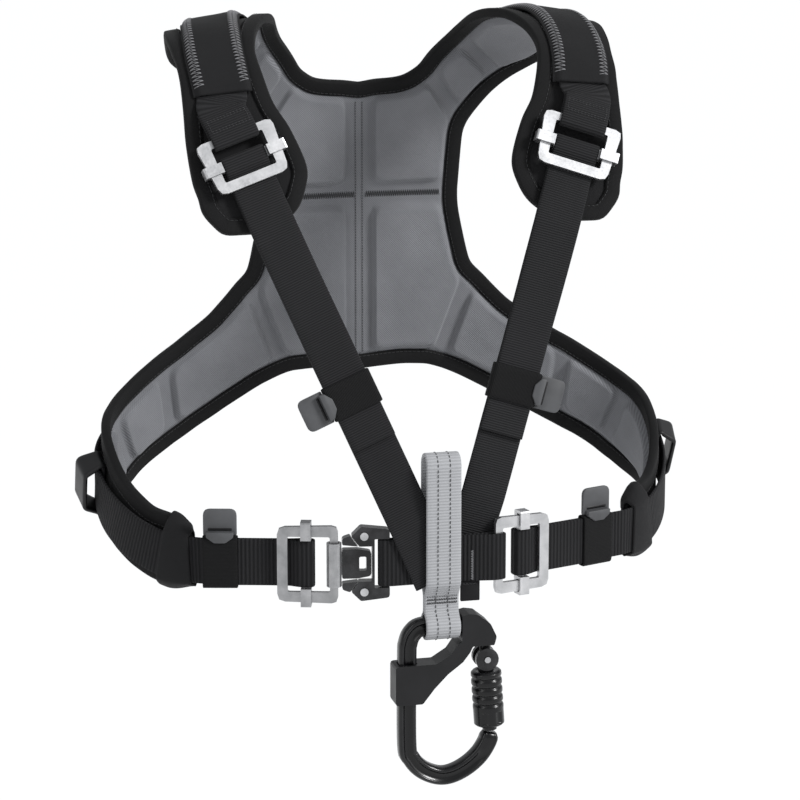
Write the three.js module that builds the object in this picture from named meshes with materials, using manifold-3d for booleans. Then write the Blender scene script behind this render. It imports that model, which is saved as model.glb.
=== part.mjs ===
// Climbing chest harness: a padded X-shaped shell with webbing, adjusters, quick buckle, sternal loop
// and carabiner, in the form it has when worn. Millimetres, +Z up, front towards -Y. The origin lies
// midway between the two shoulder crests.
import * as THREE from 'three';
import { mergeVertices } from 'three/addons/utils/BufferGeometryUtils.js';
import Module from 'manifold-3d';

const wasm = await Module();
wasm.setup();

// Hollow that the harness keeps open for the wearer
const CHEST_HALF_WIDTH = 183;
const BACK_DEPTH = 72;
const FRONT_DEPTH = 121.5;
const BACK_ROUNDNESS = 2.3;
const BACK_RISE = 175.5;
const FRONT_BEND = 54;
const FRONT_LEAN = THREE.MathUtils.degToRad(22);
const BLEND_START = 27;
const BLEND_LENGTH = 81;

// Flat pattern of the pad
const SHOULDER_SPREAD = 140;
const SHOULDER_RUN = 450;
const WING_REACH = 305;
const PANEL_HEIGHT = 200;
const NECK_HEIGHT = 195;
const ARCH_HEIGHT = 4;
const WAIST_HEIGHT = 122;
const WAIST_HALF = 66;
const CHANNEL_HALF = 7;
const CHANNEL_RAMP = 4.5;

// Walls of the pad, measured from its middle surface
const SHELL_OUT = 2;
const CUSHION_IN = 6.5;
const CHANNEL_IN = 2.6;
const EDGE_IN = 1;
const EDGE_WIDTH = 9.5;
const RAMP_WIDTH = 5;
const TAPE = 1;
const TAPE_REACH = 0.86;
const GAP = 0.35;
const SEAT = 0.75;

// Webbing and elastic
const WEB_WIDTH = 30;
const WEB = 2;
const PLY = WEB + 0.4;
const LOOP_UNDER = 1.1;
const LOOP_ROOM = 1.2;
const CHEST_LIFT = SHELL_OUT + SEAT + TAPE + GAP + LOOP_UNDER + LOOP_ROOM + WEB / 2;
const CHEST_HEIGHT = -327;
const CROSSING_Y = -121.5;
const ELASTIC = 1.2;
const ELASTIC_WIDTH = 22;
const TAB = 2.2;

// Steel adjusters, all four of one kind
const FRAME_THICK = 3;
const FIXED_BAR = 5;
const OUTER_BAR = 6.5;
const ROLL_BAR_THICK = 4.4;
const ROLL_DROP = 3;
const COLLAR_WALL = 1.6;
const COLLAR_WIDTH = 6.5;
const SLACK = 0.3;
const CHEST_FRAME = { length: 38, fixedWidth: 50, outerWidth: 48, windowHalf: 17.8 };
const SHOULDER_FRAME = { length: 34, fixedWidth: 52, outerWidth: 46, windowHalf: 17.4 };

// Sternal loop
const LOOP_WIDTH = 22.5;
const LOOP_X = 7.3;
const LOOP_WEB = 2.2;
const LOOP_TOP = -258;
const LOOP_HALF = 5.7;
const TACK_TOP = -349.5;
const PIVOT_Z = -370;
const LOOP_EYE = 6.7;

// Carabiner
const BAR_WIDTH = 11.5;
const BAR_DEPTH = 10;
const PIN_X = 36.4;
const PIN_Z = -393.4;
const GATE_TILT = THREE.MathUtils.degToRad(4);
const GATE_LENGTH = 48;
const GATE_RADIUS = 4.6;
const SLEEVE_RADIUS = 10;
const SLEEVE_TOP = 8.5;
const SLEEVE_BOTTOM = 44.5;
const TONGUE_THICK = 5;
const CHEEK_RADIUS = 7.4;
const FORK_DEPTH = 12;
const PIN_RADIUS = 2;

const V = (x, y, z) => new THREE.Vector3(x, y, z);
const parts = new THREE.Group();

const CLOTH = { color: 0x1c1d1f, roughness: 0.9, metalness: 0 };
const GREY_CLOTH = { color: 0x6d6e72, roughness: 0.95, metalness: 0 };
const GREY_WEB = { color: 0xa9aaae, roughness: 0.85, metalness: 0 };
const STEEL = { color: 0xb9bbbd, roughness: 0.35, metalness: 1 };
const BLACK_METAL = { color: 0x1a1b1c, roughness: 0.4, metalness: 0.6 };
const BLACK_PLASTIC = { color: 0x17181a, roughness: 0.55, metalness: 0 };
const GREY_PLASTIC = { color: 0x5f6164, roughness: 0.6, metalness: 0 };

// Joins the shared corners of a geometry and drops triangles that have no area.
function tidy(geometry) {
  const bare = new THREE.BufferGeometry();
  bare.setAttribute('position', geometry.getAttribute('position').clone());
  if (geometry.index) bare.setIndex(geometry.index.clone());
  const merged = mergeVertices(bare, 1e-4);
  const index = Array.from(merged.index.array);
  const kept = [];
  for (let i = 0; i < index.length; i += 3) {
    const [a, b, c] = index.slice(i, i + 3);
    if (a !== b && b !== c && c !== a) kept.push(a, b, c);
  }
  merged.setIndex(kept);
  return merged;
}

function volumeOf(geometry) {
  const p = geometry.getAttribute('position');
  const index = geometry.index.array;
  const a = V();
  const b = V();
  const c = V();
  let sum = 0;
  for (let i = 0; i < index.length; i += 3) {
    a.fromBufferAttribute(p, index[i]);
    b.fromBufferAttribute(p, index[i + 1]);
    c.fromBufferAttribute(p, index[i + 2]);
    sum += a.dot(b.cross(c));
  }
  return sum / 6;
}

// Turns every face the other way where the body came out inside out.
function faceOut(geometry) {
  const merged = tidy(geometry);
  if (volumeOf(merged) < 0) {
    const index = merged.index.array;
    for (let i = 0; i < index.length; i += 3) {
      [index[i + 1], index[i + 2]] = [index[i + 2], index[i + 1]];
    }
  }
  return merged;
}

function addPart(name, geometry, look, parent = parts) {
  const mesh = new THREE.Mesh(faceOut(geometry), new THREE.MeshStandardMaterial(look));
  mesh.name = name;
  parent.add(mesh);
  return mesh;
}

function fromTriangles(corners) {
  const geometry = new THREE.BufferGeometry();
  geometry.setAttribute('position', new THREE.Float32BufferAttribute(corners.flatMap((p) => [p.x, p.y, p.z]), 3));
  return geometry;
}

function toSolid(geometry) {
  const g = faceOut(geometry);
  return new wasm.Manifold(new wasm.Mesh({
    numProp: 3,
    vertProperties: new Float32Array(g.getAttribute('position').array),
    triVerts: new Uint32Array(g.index.array),
  }));
}

function fromSolid(solid) {
  const mesh = solid.getMesh();
  const geometry = new THREE.BufferGeometry();
  geometry.setAttribute('position', new THREE.BufferAttribute(new Float32Array(mesh.vertProperties), 3));
  geometry.setIndex(new THREE.BufferAttribute(new Uint32Array(mesh.triVerts), 1));
  return geometry;
}

const cut = (body, ...tools) => fromSolid(tools.reduce((s, t) => s.subtract(toSolid(t)), toSolid(body)));
const join = (body, ...more) => fromSolid(more.reduce((s, t) => s.add(toSolid(t)), toSolid(body)));

// Skins a row of rings, each with as many points; the ends are closed unless the row returns to its start.
function loft(rings, closed = false) {
  const out = [];
  const count = rings[0].length;
  const last = closed ? rings.length : rings.length - 1;
  for (let i = 0; i < last; i += 1) {
    const a = rings[i];
    const b = rings[(i + 1) % rings.length];
    for (let k = 0; k < count; k += 1) {
      const n = (k + 1) % count;
      out.push(a[k], b[k], b[n], a[k], b[n], a[n]);
    }
  }
  if (!closed) {
    const front = rings[0];
    const back = rings[rings.length - 1];
    for (let k = 1; k < count - 1; k += 1) {
      out.push(front[0], front[k], front[k + 1], back[0], back[k + 1], back[k]);
    }
  }
  return fromTriangles(out);
}

// Flat outline with rounded corners; a corner is [x, y] or [x, y, radius].
function outline(corners, steps = 3) {
  const points = [];
  corners.forEach(([x, y, radius = 0], i) => {
    if (!radius) {
      points.push([x, y]);
      return;
    }
    const p = new THREE.Vector2(x, y);
    const before = new THREE.Vector2(...corners[(i + corners.length - 1) % corners.length]).sub(p).normalize();
    const after = new THREE.Vector2(...corners[(i + 1) % corners.length]).sub(p).normalize();
    const half = Math.acos(THREE.MathUtils.clamp(before.dot(after), -1, 1)) / 2;
    const reach = radius / Math.tan(half);
    const start = p.clone().addScaledVector(before, reach);
    const end = p.clone().addScaledVector(after, reach);
    for (let k = 0; k <= steps; k += 1) {
      const t = k / steps;
      const q = start.clone().multiplyScalar((1 - t) ** 2)
        .addScaledVector(p, 2 * t * (1 - t)).addScaledVector(end, t * t);
      points.push([q.x, q.y]);
    }
  });
  return points;
}

const box2 = (x0, y0, x1, y1, radius = 0) => [
  [x0, y0, radius], [x1, y0, radius], [x1, y1, radius], [x0, y1, radius],
];

// A flat outline with holes, made `depth` thick and centred on its own plane.
function plate(corners, holes, depth, steps = 3) {
  const slab = (list, thick) => {
    const shape = new THREE.Shape(outline(list, steps).map(([x, y]) => new THREE.Vector2(x, y)));
    return new THREE.ExtrudeGeometry(shape, { depth: thick, bevelEnabled: false }).translate(0, 0, -thick / 2);
  };
  const body = slab(corners, depth);
  return holes.length ? cut(body, ...holes.map((hole) => slab(hole, depth + 2))) : body;
}

function frameOf(origin, along, across, front) {
  return new THREE.Matrix4().makeBasis(along, across, front).setPosition(origin);
}
const at = (frame, x, y, z) => V(x, y, z).applyMatrix4(frame);
const turned = (frame, x, y, z) => V(x, y, z).transformDirection(frame);

function framedGroup(frame) {
  const group = new THREE.Group();
  frame.decompose(group.position, group.quaternion, group.scale);
  parts.add(group);
  return group;
}

// The chest ring: position at each length along it, from the middle of the back round to the breastbone.
const RING_STEPS = 1200;
const ringTable = [{ s: 0, x: 0, y: BACK_DEPTH }];
for (let i = 1; i <= RING_STEPS; i += 1) {
  const angle = (Math.PI * i) / RING_STEPS;
  const behind = angle < Math.PI / 2;
  const power = 2 / (behind ? BACK_ROUNDNESS : 2);
  const x = CHEST_HALF_WIDTH * Math.abs(Math.sin(angle)) ** power;
  const c = Math.cos(angle);
  const y = (behind ? BACK_DEPTH : FRONT_DEPTH) * Math.sign(c) * Math.abs(c) ** power;
  const p = ringTable[i - 1];
  ringTable.push({ s: p.s + Math.hypot(x - p.x, y - p.y), x, y });
}

function ringPoint(u) {
  const s = Math.min(Math.abs(u), ringTable[RING_STEPS].s - 1e-6);
  let low = 0;
  let high = RING_STEPS;
  while (high - low > 1) {
    const middle = (low + high) >> 1;
    if (ringTable[middle].s <= s) low = middle;
    else high = middle;
  }
  const a = ringTable[low];
  const b = ringTable[high];
  const t = (s - a.s) / (b.s - a.s);
  return { x: Math.sign(u) * (a.x + (b.x - a.x) * t), y: a.y + (b.y - a.y) * t };
}

// The side view: up the back, over the shoulder in two arcs and down the leaning front.
function sidePoint(v) {
  const base = -(BACK_RISE + BACK_DEPTH);
  if (v <= BACK_RISE) return { y: BACK_DEPTH, z: v + base };
  let rest = v - BACK_RISE;
  const backArc = (BACK_DEPTH * Math.PI) / 2;
  if (rest <= backArc) {
    const a = rest / BACK_DEPTH;
    return { y: BACK_DEPTH * Math.cos(a), z: -BACK_DEPTH + BACK_DEPTH * Math.sin(a) };
  }
  rest -= backArc;
  const sweep = Math.PI / 2 - FRONT_LEAN;
  const a = Math.min(rest / FRONT_BEND, sweep);
  rest -= a * FRONT_BEND;
  return {
    y: -FRONT_BEND * Math.sin(a) - rest * Math.sin(FRONT_LEAN),
    z: -FRONT_BEND + FRONT_BEND * Math.cos(a) - rest * Math.cos(FRONT_LEAN),
  };
}

// Bends the flat pattern into the worn form: u runs round the chest, v up the back and over the shoulder.
function worn(u, v) {
  const side = sidePoint(v);
  const ring = ringPoint(u);
  const t = THREE.MathUtils.clamp((v - (BACK_RISE - BLEND_START)) / BLEND_LENGTH, 0, 1);
  const w = t * t * (3 - 2 * t);
  return V(ring.x * (1 - w) + u * w, side.y + (ring.y - BACK_DEPTH) * (1 - w), side.z);
}

function outward(u, v) {
  const h = 0.5;
  const du = worn(u + h, v).sub(worn(u - h, v));
  const dv = worn(u, v + h).sub(worn(u, v - h));
  return dv.cross(du).normalize();
}

const lifted = (u, v, lift) => worn(u, v).addScaledVector(outward(u, v), lift);

// Pad sections. Each row runs from the near edge (neck, or lower edge of the wing) to the armhole edge.
// near and far are shares of the sizes named beside each table. fill: 1 a cushion, 0 a sewn groove.
const SHOULDER_ROWS = [ // u as a share of SHOULDER_SPREAD, v of SHOULDER_RUN
  { nearU: 0.293, nearV: 0.471, farU: 0.493, farV: 0.351, fill: 1 },
  { nearU: 0.311, nearV: 0.477, farU: 0.507, farV: 0.369, fill: 0 },
  { nearU: 0.329, nearV: 0.483, farU: 0.529, farV: 0.382, fill: 1 },
  { nearU: 0.371, nearV: 0.498, farU: 0.6, farV: 0.409, fill: 1 },
  { nearU: 0.414, nearV: 0.52, farU: 0.664, farV: 0.43, fill: 1 },
  { nearU: 0.429, nearV: 0.531, farU: 0.7, farV: 0.44, fill: 0 },
  { nearU: 0.443, nearV: 0.542, farU: 0.736, farV: 0.449, fill: 1 },
  { nearU: 0.464, nearV: 0.564, farU: 0.814, farV: 0.469, fill: 1 },
  { nearU: 0.486, nearV: 0.589, farU: 0.886, farV: 0.493, fill: 1 },
  { nearU: 0.521, nearV: 0.618, farU: 0.936, farV: 0.533, fill: 1 },
  { nearU: 0.614, nearV: 0.676, farU: 0.996, farV: 0.644, fill: 1 },
  { nearU: 0.65, nearV: 0.707, farU: 1, farV: 0.696, fill: 1 },
  { nearU: 0.664, nearV: 0.744, farU: 0.989, farV: 0.74, fill: 1 },
  { nearU: 0.614, nearV: 0.813, farU: 0.986, farV: 0.824, fill: 1 },
  { nearU: 0.55, nearV: 0.849, farU: 0.986, farV: 0.869, fill: 1 },
  { nearU: 0.486, nearV: 0.904, farU: 0.971, farV: 0.922, fill: 1 },
  { nearU: 0.499, nearV: 0.932, farU: 0.949, farV: 0.945, fill: 1 },
];
const SHOULDER_END = [
  { nearU: 0.543, nearV: 0.962, farU: 0.939, farV: 0.964 },
  { nearU: 0.664, nearV: 0.991, farU: 0.864, farV: 0.992 },
];
const WING_ROWS = [ // u as a share of WING_REACH, v of PANEL_HEIGHT
  { nearU: 0.152, nearV: 0.028, farU: 0.22, farV: 0.54, fill: 1 },
  { nearU: 0.164, nearV: 0.024, farU: 0.243, farV: 0.38, fill: 1 },
  { nearU: 0.175, nearV: 0.018, farU: 0.257, farV: 0.345, fill: 0 },
  { nearU: 0.189, nearV: 0.012, farU: 0.274, farV: 0.32, fill: 1 },
  { nearU: 0.23, nearV: -0.015, farU: 0.308, farV: 0.265, fill: 1 },
  { nearU: 0.289, nearV: -0.062, farU: 0.344, farV: 0.215, fill: 1 },
  { nearU: 0.384, nearV: -0.138, farU: 0.42, farV: 0.14, fill: 1 },
  { nearU: 0.426, nearV: -0.172, farU: 0.452, farV: 0.112, fill: 1 },
  { nearU: 0.443, nearV: -0.185, farU: 0.467, farV: 0.1, fill: 0 },
  { nearU: 0.459, nearV: -0.198, farU: 0.482, farV: 0.088, fill: 1 },
  { nearU: 0.492, nearV: -0.222, farU: 0.525, farV: 0.05, fill: 1 },
  { nearU: 0.538, nearV: -0.262, farU: 0.613, farV: -0.025, fill: 1 },
  { nearU: 0.554, nearV: -0.28, farU: 0.63, farV: -0.035, fill: 0 },
  { nearU: 0.57, nearV: -0.295, farU: 0.646, farV: -0.048, fill: 1 },
  { nearU: 0.623, nearV: -0.338, farU: 0.695, farV: -0.09, fill: 1 },
  { nearU: 0.679, nearV: -0.368, farU: 0.748, farV: -0.14, fill: 1 },
  { nearU: 0.738, nearV: -0.398, farU: 0.8, farV: -0.195, fill: 1 },
  { nearU: 0.849, nearV: -0.458, farU: 0.885, farV: -0.262, fill: 1 },
  { nearU: 0.902, nearV: -0.482, farU: 0.925, farV: -0.275, fill: 1 },
];
const WING_END = [
  { nearU: 0.955, nearV: -0.488, farU: 0.964, farV: -0.285 },
  { nearU: 0.992, nearV: -0.463, farU: 0.992, farV: -0.305 },
];
// Rows between the middle of the back and the armhole: share of WAIST_HALF at the waist line, then
// u as a share of WAIST_HALF and rise above NECK_HEIGHT or ARCH_HEIGHT as a share of PANEL_HEIGHT.
const PANEL_ROWS = [
  { waist: 0.46, neckU: 0.394, neckRise: 0.037, archU: 0.455, archRise: 0.011, kind: 'panel' },
  { waist: 1 - EDGE_WIDTH / WAIST_HALF, neckU: 0.5, neckRise: 0.053, archU: 0.61, archRise: 0.009, kind: 'waist' },
  { waist: 1, neckU: 0.561, neckRise: 0.065, archU: 0.682, archRise: 0.008, kind: 'arm' },
];

const LAST = 5;
const ARM_START = 5;
// One row of the pad: six stations from the near edge to the far edge, with the wall inside each.
function padRow(near, far, fill, farBand, kind) {
  const length = near.distanceTo(far);
  let s = [0, EDGE_WIDTH, EDGE_WIDTH + RAMP_WIDTH, length - farBand - RAMP_WIDTH, length - farBand, length];
  const crest = fill ? CUSHION_IN : CHANNEL_IN;
  const farWall = kind === 'panel' ? CHANNEL_IN : EDGE_IN;
  let walls = [EDGE_IN, EDGE_IN, crest, crest, farWall, farWall];
  if (kind === 'waist') walls = [EDGE_IN, EDGE_IN, crest, crest, CHANNEL_IN, EDGE_IN];
  if (kind === 'end') {
    s = s.map((_, k) => (length * k) / LAST);
    walls = s.map(() => EDGE_IN);
  }
  return s.map((distance, k) => {
    const p = near.clone().lerp(far, distance / length);
    return { u: p.x, v: p.y, wall: walls[k] };
  });
}

const flat = (u, v) => new THREE.Vector2(u, v);

// All rows of one arm of the pad, from the middle of the back to its tip.
function padArm(up) {
  const rows = [];
  const edge = up ? NECK_HEIGHT : ARCH_HEIGHT;
  [0, CHANNEL_HALF, CHANNEL_HALF + CHANNEL_RAMP].forEach((u, i) => {
    const rise = up ? (0.01 * PANEL_HEIGHT * i) / 2 : (0.005 * PANEL_HEIGHT * i) / 2;
    rows.push(padRow(flat(u, edge + rise), flat(u, WAIST_HEIGHT), i === 2, CHANNEL_HALF, 'panel'));
  });
  PANEL_ROWS.forEach((row) => {
    const u = WAIST_HALF * (up ? row.neckU : row.archU);
    const v = edge + PANEL_HEIGHT * (up ? row.neckRise : row.archRise);
    const atArmhole = row.waist === 1;
    const band = atArmhole ? EDGE_WIDTH : CHANNEL_HALF;
    rows.push(padRow(flat(u, v), flat(WAIST_HALF * row.waist, WAIST_HEIGHT), 1, band, row.kind));
  });
  const spread = up ? SHOULDER_SPREAD : WING_REACH;
  const run = up ? SHOULDER_RUN : PANEL_HEIGHT;
  const addRow = (row, kind) => rows.push(padRow(flat(row.nearU * spread, row.nearV * run),
    flat(row.farU * spread, row.farV * run), row.fill, EDGE_WIDTH, kind));
  (up ? SHOULDER_ROWS : WING_ROWS).forEach((row) => addRow(row, 'arm'));
  (up ? SHOULDER_END : WING_END).forEach((row) => addRow(row, 'end'));
  return rows;
}

const shoulderArm = padArm(true);
const wingArm = padArm(false);

function padGeometry() {
  const out = [];
  const put = (side, up, a, b, c) => {
    if (side * (up ? 1 : -1) > 0) out.push(a, b, c);
    else out.push(a, c, b);
  };
  [1, -1].forEach((side) => [[shoulderArm, true], [wingArm, false]].forEach(([rows, up]) => {
    const outer = rows.map((row) => row.map((p) => lifted(side * p.u, p.v, SHELL_OUT)));
    const inner = rows.map((row) => row.map((p) => lifted(side * p.u, p.v, -p.wall)));
    const end = rows.length - 1;
    for (let j = 0; j < end; j += 1) {
      for (let k = 0; k < LAST; k += 1) {
        const firstWay = (k === 0 && j === end - 1) || (k === LAST - 1 && j === ARM_START - 1);
        const otherWay = k === LAST - 1 && j === end - 1;
        const slash = firstWay || (!otherWay && k < 3);
        [[outer, false], [inner, true]].forEach(([grid, flip]) => {
          const [a, b, c, d] = [grid[j][k], grid[j + 1][k], grid[j + 1][k + 1], grid[j][k + 1]];
          const faces = slash ? [[a, b, d], [b, c, d]] : [[a, b, c], [a, c, d]];
          faces.forEach(([p, q, r]) => put(side, up !== flip, p, q, r));
        });
      }
    }
    const wall = (j0, k0, j1, k1) => {
      const [a, b, c, d] = [outer[j0][k0], outer[j1][k1], inner[j1][k1], inner[j0][k0]];
      put(side, up, a, c, b);
      put(side, up, a, d, c);
    };
    for (let j = 0; j < end; j += 1) {
      wall(j, 0, j + 1, 0);
      if (j >= ARM_START) wall(j + 1, LAST, j, LAST);
    }
    for (let k = 0; k < LAST; k += 1) wall(end, k, end, k + 1);
  }));
  return fromTriangles(out);
}

// The outline of one half of the pad with, for each point, the point inside it that its edge band reaches.
// way tells along which diagonal the pad's own faces are split there.
function bandStations() {
  const along = (rows) => {
    const end = rows.length - 1;
    const near = rows.slice(0, end).map((row) => ({ o: row[0], i: row[1], way: 1 }));
    const tip = rows[end].map((p, k) => ({ o: p, i: rows[end - 1][Math.min(Math.max(k, 1), LAST - 1)], way: 1 }));
    const far = rows.slice(ARM_START, end).map((row) => ({ o: row[LAST], i: row[LAST - 1], way: -1 })).reverse();
    return [...near, ...tip, ...far];
  };
  const corner = { o: shoulderArm[ARM_START][LAST], i: shoulderArm[ARM_START - 1][LAST], way: -1 };
  const back = along(wingArm).map((station) => ({ ...station, way: -station.way })).reverse();
  return [...along(shoulderArm), corner, ...back];
}

function bindingGeometry() {
  const half = bandStations();
  const mirror = half.slice(1, -1).reverse()
    .map(({ o, i, way }) => ({ o: { u: -o.u, v: o.v }, i: { u: -i.u, v: i.v }, way: -way }));
  const all = [...half, ...mirror];
  const count = all.length;
  const distinct = (from, step) => {
    let n = from;
    do n = (n + step + count) % count; while (Math.hypot(all[n].o.u - all[from].o.u, all[n].o.v - all[from].o.v) < 1e-3);
    return all[n].o;
  };
  const rings = all.map(({ o, i }, n) => {
    const ahead = distinct(n, 1);
    const behind = distinct(n, -1);
    const a = flat(ahead.u - o.u, ahead.v - o.v).normalize();
    const b = flat(o.u - behind.u, o.v - behind.v).normalize();
    const tangent = a.clone().add(b).normalize();
    const normal = flat(-tangent.y, tangent.x);
    const spread = 1 / Math.max(0.5, normal.dot(flat(-a.y, a.x)));
    const point = (out, lift) => lifted(o.u + normal.x * out * spread, o.v + normal.y * out * spread, lift);
    const inside = (lift) => lifted(o.u + (i.u - o.u) * TAPE_REACH, o.v + (i.v - o.v) * TAPE_REACH, lift);
    const top = SHELL_OUT + SEAT;
    const bottom = -EDGE_IN - SEAT;
    return [point(GAP + TAPE, top + TAPE), inside(top + TAPE), inside(top), point(GAP, top),
      point(GAP, bottom), inside(bottom), inside(bottom - TAPE), point(GAP + TAPE, bottom - TAPE)];
  });
  const out = [];
  const outerFirst = [true, false, false, true, true, false, false, true];
  rings.forEach((ring, n) => {
    const next = rings[(n + 1) % count];
    ring.forEach((a, k) => {
      const m = (k + 1) % ring.length;
      const [b, c, d] = [next[k], next[m], ring[m]];
      const slash = (all[n].way > 0) === outerFirst[k];
      if (slash) out.push(a, b, d, b, c, d);
      else out.push(a, b, c, a, c, d);
    });
  });
  return fromTriangles(out);
}

addPart('pad', padGeometry(), GREY_CLOTH);
addPart('pad_binding', bindingGeometry(), CLOTH);

// A strap: stations hold its middle and the direction across it, or a ring of their own. A ring has three
// points on the upper face and three on the lower, both edges and the middle.
function strap(stations, thickness = WEB, width = WEB_WIDTH) {
  const count = stations.length;
  const rings = stations.map(({ p, across, ring }, n) => {
    if (ring) return ring;
    const before = stations[Math.max(n - 1, 0)].p;
    const after = stations[Math.min(n + 1, count - 1)].p;
    const a = p.clone().sub(before);
    const b = after.clone().sub(p);
    if (n === 0) a.copy(b);
    if (n === count - 1) b.copy(a);
    const normalA = V().crossVectors(across, a).normalize();
    const normalB = V().crossVectors(across, b).normalize();
    const normal = normalA.clone().add(normalB).normalize();
    const half = thickness / 2 / Math.max(0.6, normal.dot(normalA));
    const corner = (side, t) => p.clone().addScaledVector(across, (side * width) / 2).addScaledVector(normal, t * half);
    return [corner(1, 1), corner(0, 1), corner(-1, 1), corner(-1, -1), corner(0, -1), corner(1, -1)];
  });
  return skinStrip(rings);
}

// Skins rings whose first half is one face and whose second half is the other, with capped ends.
function skinStrip(rings) {
  const out = [];
  const count = rings[0].length;
  const half = count / 2;
  for (let i = 0; i < rings.length - 1; i += 1) {
    for (let k = 0; k < count; k += 1) {
      const n = (k + 1) % count;
      const [a, b, c, d] = [rings[i][k], rings[i + 1][k], rings[i + 1][n], rings[i][n]];
      if (k < half / 2 || k >= count - half / 2) out.push(a, b, c, a, c, d);
      else out.push(a, b, d, b, c, d);
    }
  }
  [[rings[0], 1], [rings[rings.length - 1], -1]].forEach(([ring, way]) => {
    for (let k = 0; k < half - 1; k += 1) {
      const [a, b, c, d] = [ring[k], ring[k + 1], ring[count - 2 - k], ring[count - 1 - k]];
      if (way > 0) out.push(a, b, c, a, c, d);
      else out.push(a, c, b, a, d, c);
    }
  });
  return fromTriangles(out);
}

// Steel adjuster. Its own axes: x from the fixed webbing to the adjusting webbing, y across, z to the front.
function frameGeometry(size) {
  const half = size.length / 2;
  const x0 = -half + FIXED_BAR;
  const x1 = half - OUTER_BAR;
  const rim = [[-half, -size.fixedWidth / 2, 4], [half, -size.outerWidth / 2, 5],
    [half, size.outerWidth / 2, 5], [-half, size.fixedWidth / 2, 4]];
  const opening = box2(x0, -size.windowHalf, x1, size.windowHalf, 1);
  return plate(rim, [opening], FRAME_THICK, 2);
}

// The bar that the webbing rolls round, with a collar riding on each arm of the frame.
function rollBarGeometry(size) {
  const armOut = (size.fixedWidth + size.outerWidth) / 4 + 1;
  const armIn = size.windowHalf - SLACK;
  const out = armOut + SLACK + COLLAR_WALL;
  const inLeg = armIn - SLACK - COLLAR_WALL;
  const top = FRAME_THICK / 2 + SLACK + COLLAR_WALL;
  const low = -ROLL_DROP - ROLL_BAR_THICK / 2;
  const high = -ROLL_DROP + ROLL_BAR_THICK / 2;
  const floor = -FRAME_THICK / 2 - SLACK;
  const rim = [[-out, low, 1], [out, low, 1], [out, top, 1], [inLeg, top], [inLeg, high],
    [-inLeg, high], [-inLeg, top], [-out, top, 1]];
  const slot = (s) => box2(Math.min(s * armIn, s * armOut), floor, Math.max(s * armIn, s * armOut),
    FRAME_THICK / 2 + SLACK);
  const wide = plate(rim, [slot(1), slot(-1)], COLLAR_WIDTH, 2);
  return wide.rotateX(Math.PI / 2).rotateZ(Math.PI / 2);
}

const ROLL_X = 1;
const FOLD = 0.8;
const WRAP = SLACK + WEB / 2;
const PLY_NEAR = -FRAME_THICK / 2 - SLACK - WEB / 2;
const PLY_FAR = PLY_NEAR - PLY;

// Path of webbing round the roll bar, from the rear ply to the front ply, in the adjuster's own x and z.
function rollPath(size) {
  const hx = COLLAR_WIDTH / 2 + WRAP;
  const hz = ROLL_BAR_THICK / 2 + WRAP;
  const edge = size.length / 2 - OUTER_BAR;
  return [[edge + OUTER_BAR + 1, PLY_FAR], [edge - 1, PLY_FAR], [ROLL_X + 3, -ROLL_DROP - hz],
    [ROLL_X - hx + FOLD, -ROLL_DROP - hz], [ROLL_X - hx, -ROLL_DROP - hz + FOLD],
    [ROLL_X - hx, -ROLL_DROP + hz - FOLD], [ROLL_X - hx + FOLD, -ROLL_DROP + hz],
    [ROLL_X + hx - 1, -ROLL_DROP + hz], [edge - 0.6, PLY_NEAR], [edge + OUTER_BAR + 1, PLY_NEAR]];
}

// Path of webbing round the fixed bar, from the front ply to the rear ply.
function fixedPath(size) {
  const x = -size.length / 2 + FIXED_BAR / 2;
  const hx = FIXED_BAR / 2 + WRAP;
  const hz = FRAME_THICK / 2 + WRAP;
  return [[x - hx, hz], [x + hx - FOLD, hz], [x + hx, hz - FOLD], [x + hx, FOLD - hz], [x + hx - FOLD, -hz], [x - hx, -hz]];
}

// Chest adjusters lie on the chest ring, turned as the ring turns there.
function chestFrame(side, x, y, turn) {
  const angle = THREE.MathUtils.degToRad(turn);
  const along = V(side * Math.cos(angle), Math.sin(angle), 0);
  const front = V(side * Math.sin(angle), -Math.cos(angle), 0);
  return frameOf(V(side * x, y, CHEST_HEIGHT), along, V(0, 0, side), front);
}
const CHEST_ADJUSTER = {
  right: chestFrame(1, 60.5, -118.5, 12.5),
  left: chestFrame(-1, 76, -112, 17),
};

// Shoulder adjusters lie on the leaning front of each shoulder pad, turned towards the breastbone.
const SHOULDER_TURN = THREE.MathUtils.degToRad(19.6);
const SHOULDER_LIFT = 10.2;
function shoulderFrame(side, u, v) {
  const down = V(0, -Math.sin(FRONT_LEAN), -Math.cos(FRONT_LEAN));
  const along = V(-side * Math.sin(SHOULDER_TURN), 0, 0).addScaledVector(down, Math.cos(SHOULDER_TURN));
  const front = V(0, -Math.cos(FRONT_LEAN), Math.sin(FRONT_LEAN));
  const across = V().crossVectors(front, along);
  return frameOf(lifted(side * u, v, SHOULDER_LIFT), along, across, front);
}
const BUCKLE_U = 0.762 * SHOULDER_SPREAD;
const BUCKLE_V = 0.894 * SHOULDER_RUN;
const SHOULDER_ADJUSTER = {
  left: shoulderFrame(-1, BUCKLE_U, BUCKLE_V),
  right: shoulderFrame(1, BUCKLE_U, BUCKLE_V),
};

const SIDES = [['left', -1], ['right', 1]];
SIDES.forEach(([side]) => {
  const rollAt = (size) => rollBarGeometry(size).translate(ROLL_X, 0, 0);
  const chest = framedGroup(CHEST_ADJUSTER[side]);
  addPart(`chest_adjuster_${side}`, frameGeometry(CHEST_FRAME), STEEL, chest);
  addPart(`chest_adjuster_bar_${side}`, rollAt(CHEST_FRAME), STEEL, chest);
  const shoulder = framedGroup(SHOULDER_ADJUSTER[side]);
  addPart(`shoulder_buckle_${side}`, frameGeometry(SHOULDER_FRAME), STEEL, shoulder);
  addPart(`shoulder_buckle_bar_${side}`, rollAt(SHOULDER_FRAME), STEEL, shoulder);
});

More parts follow.
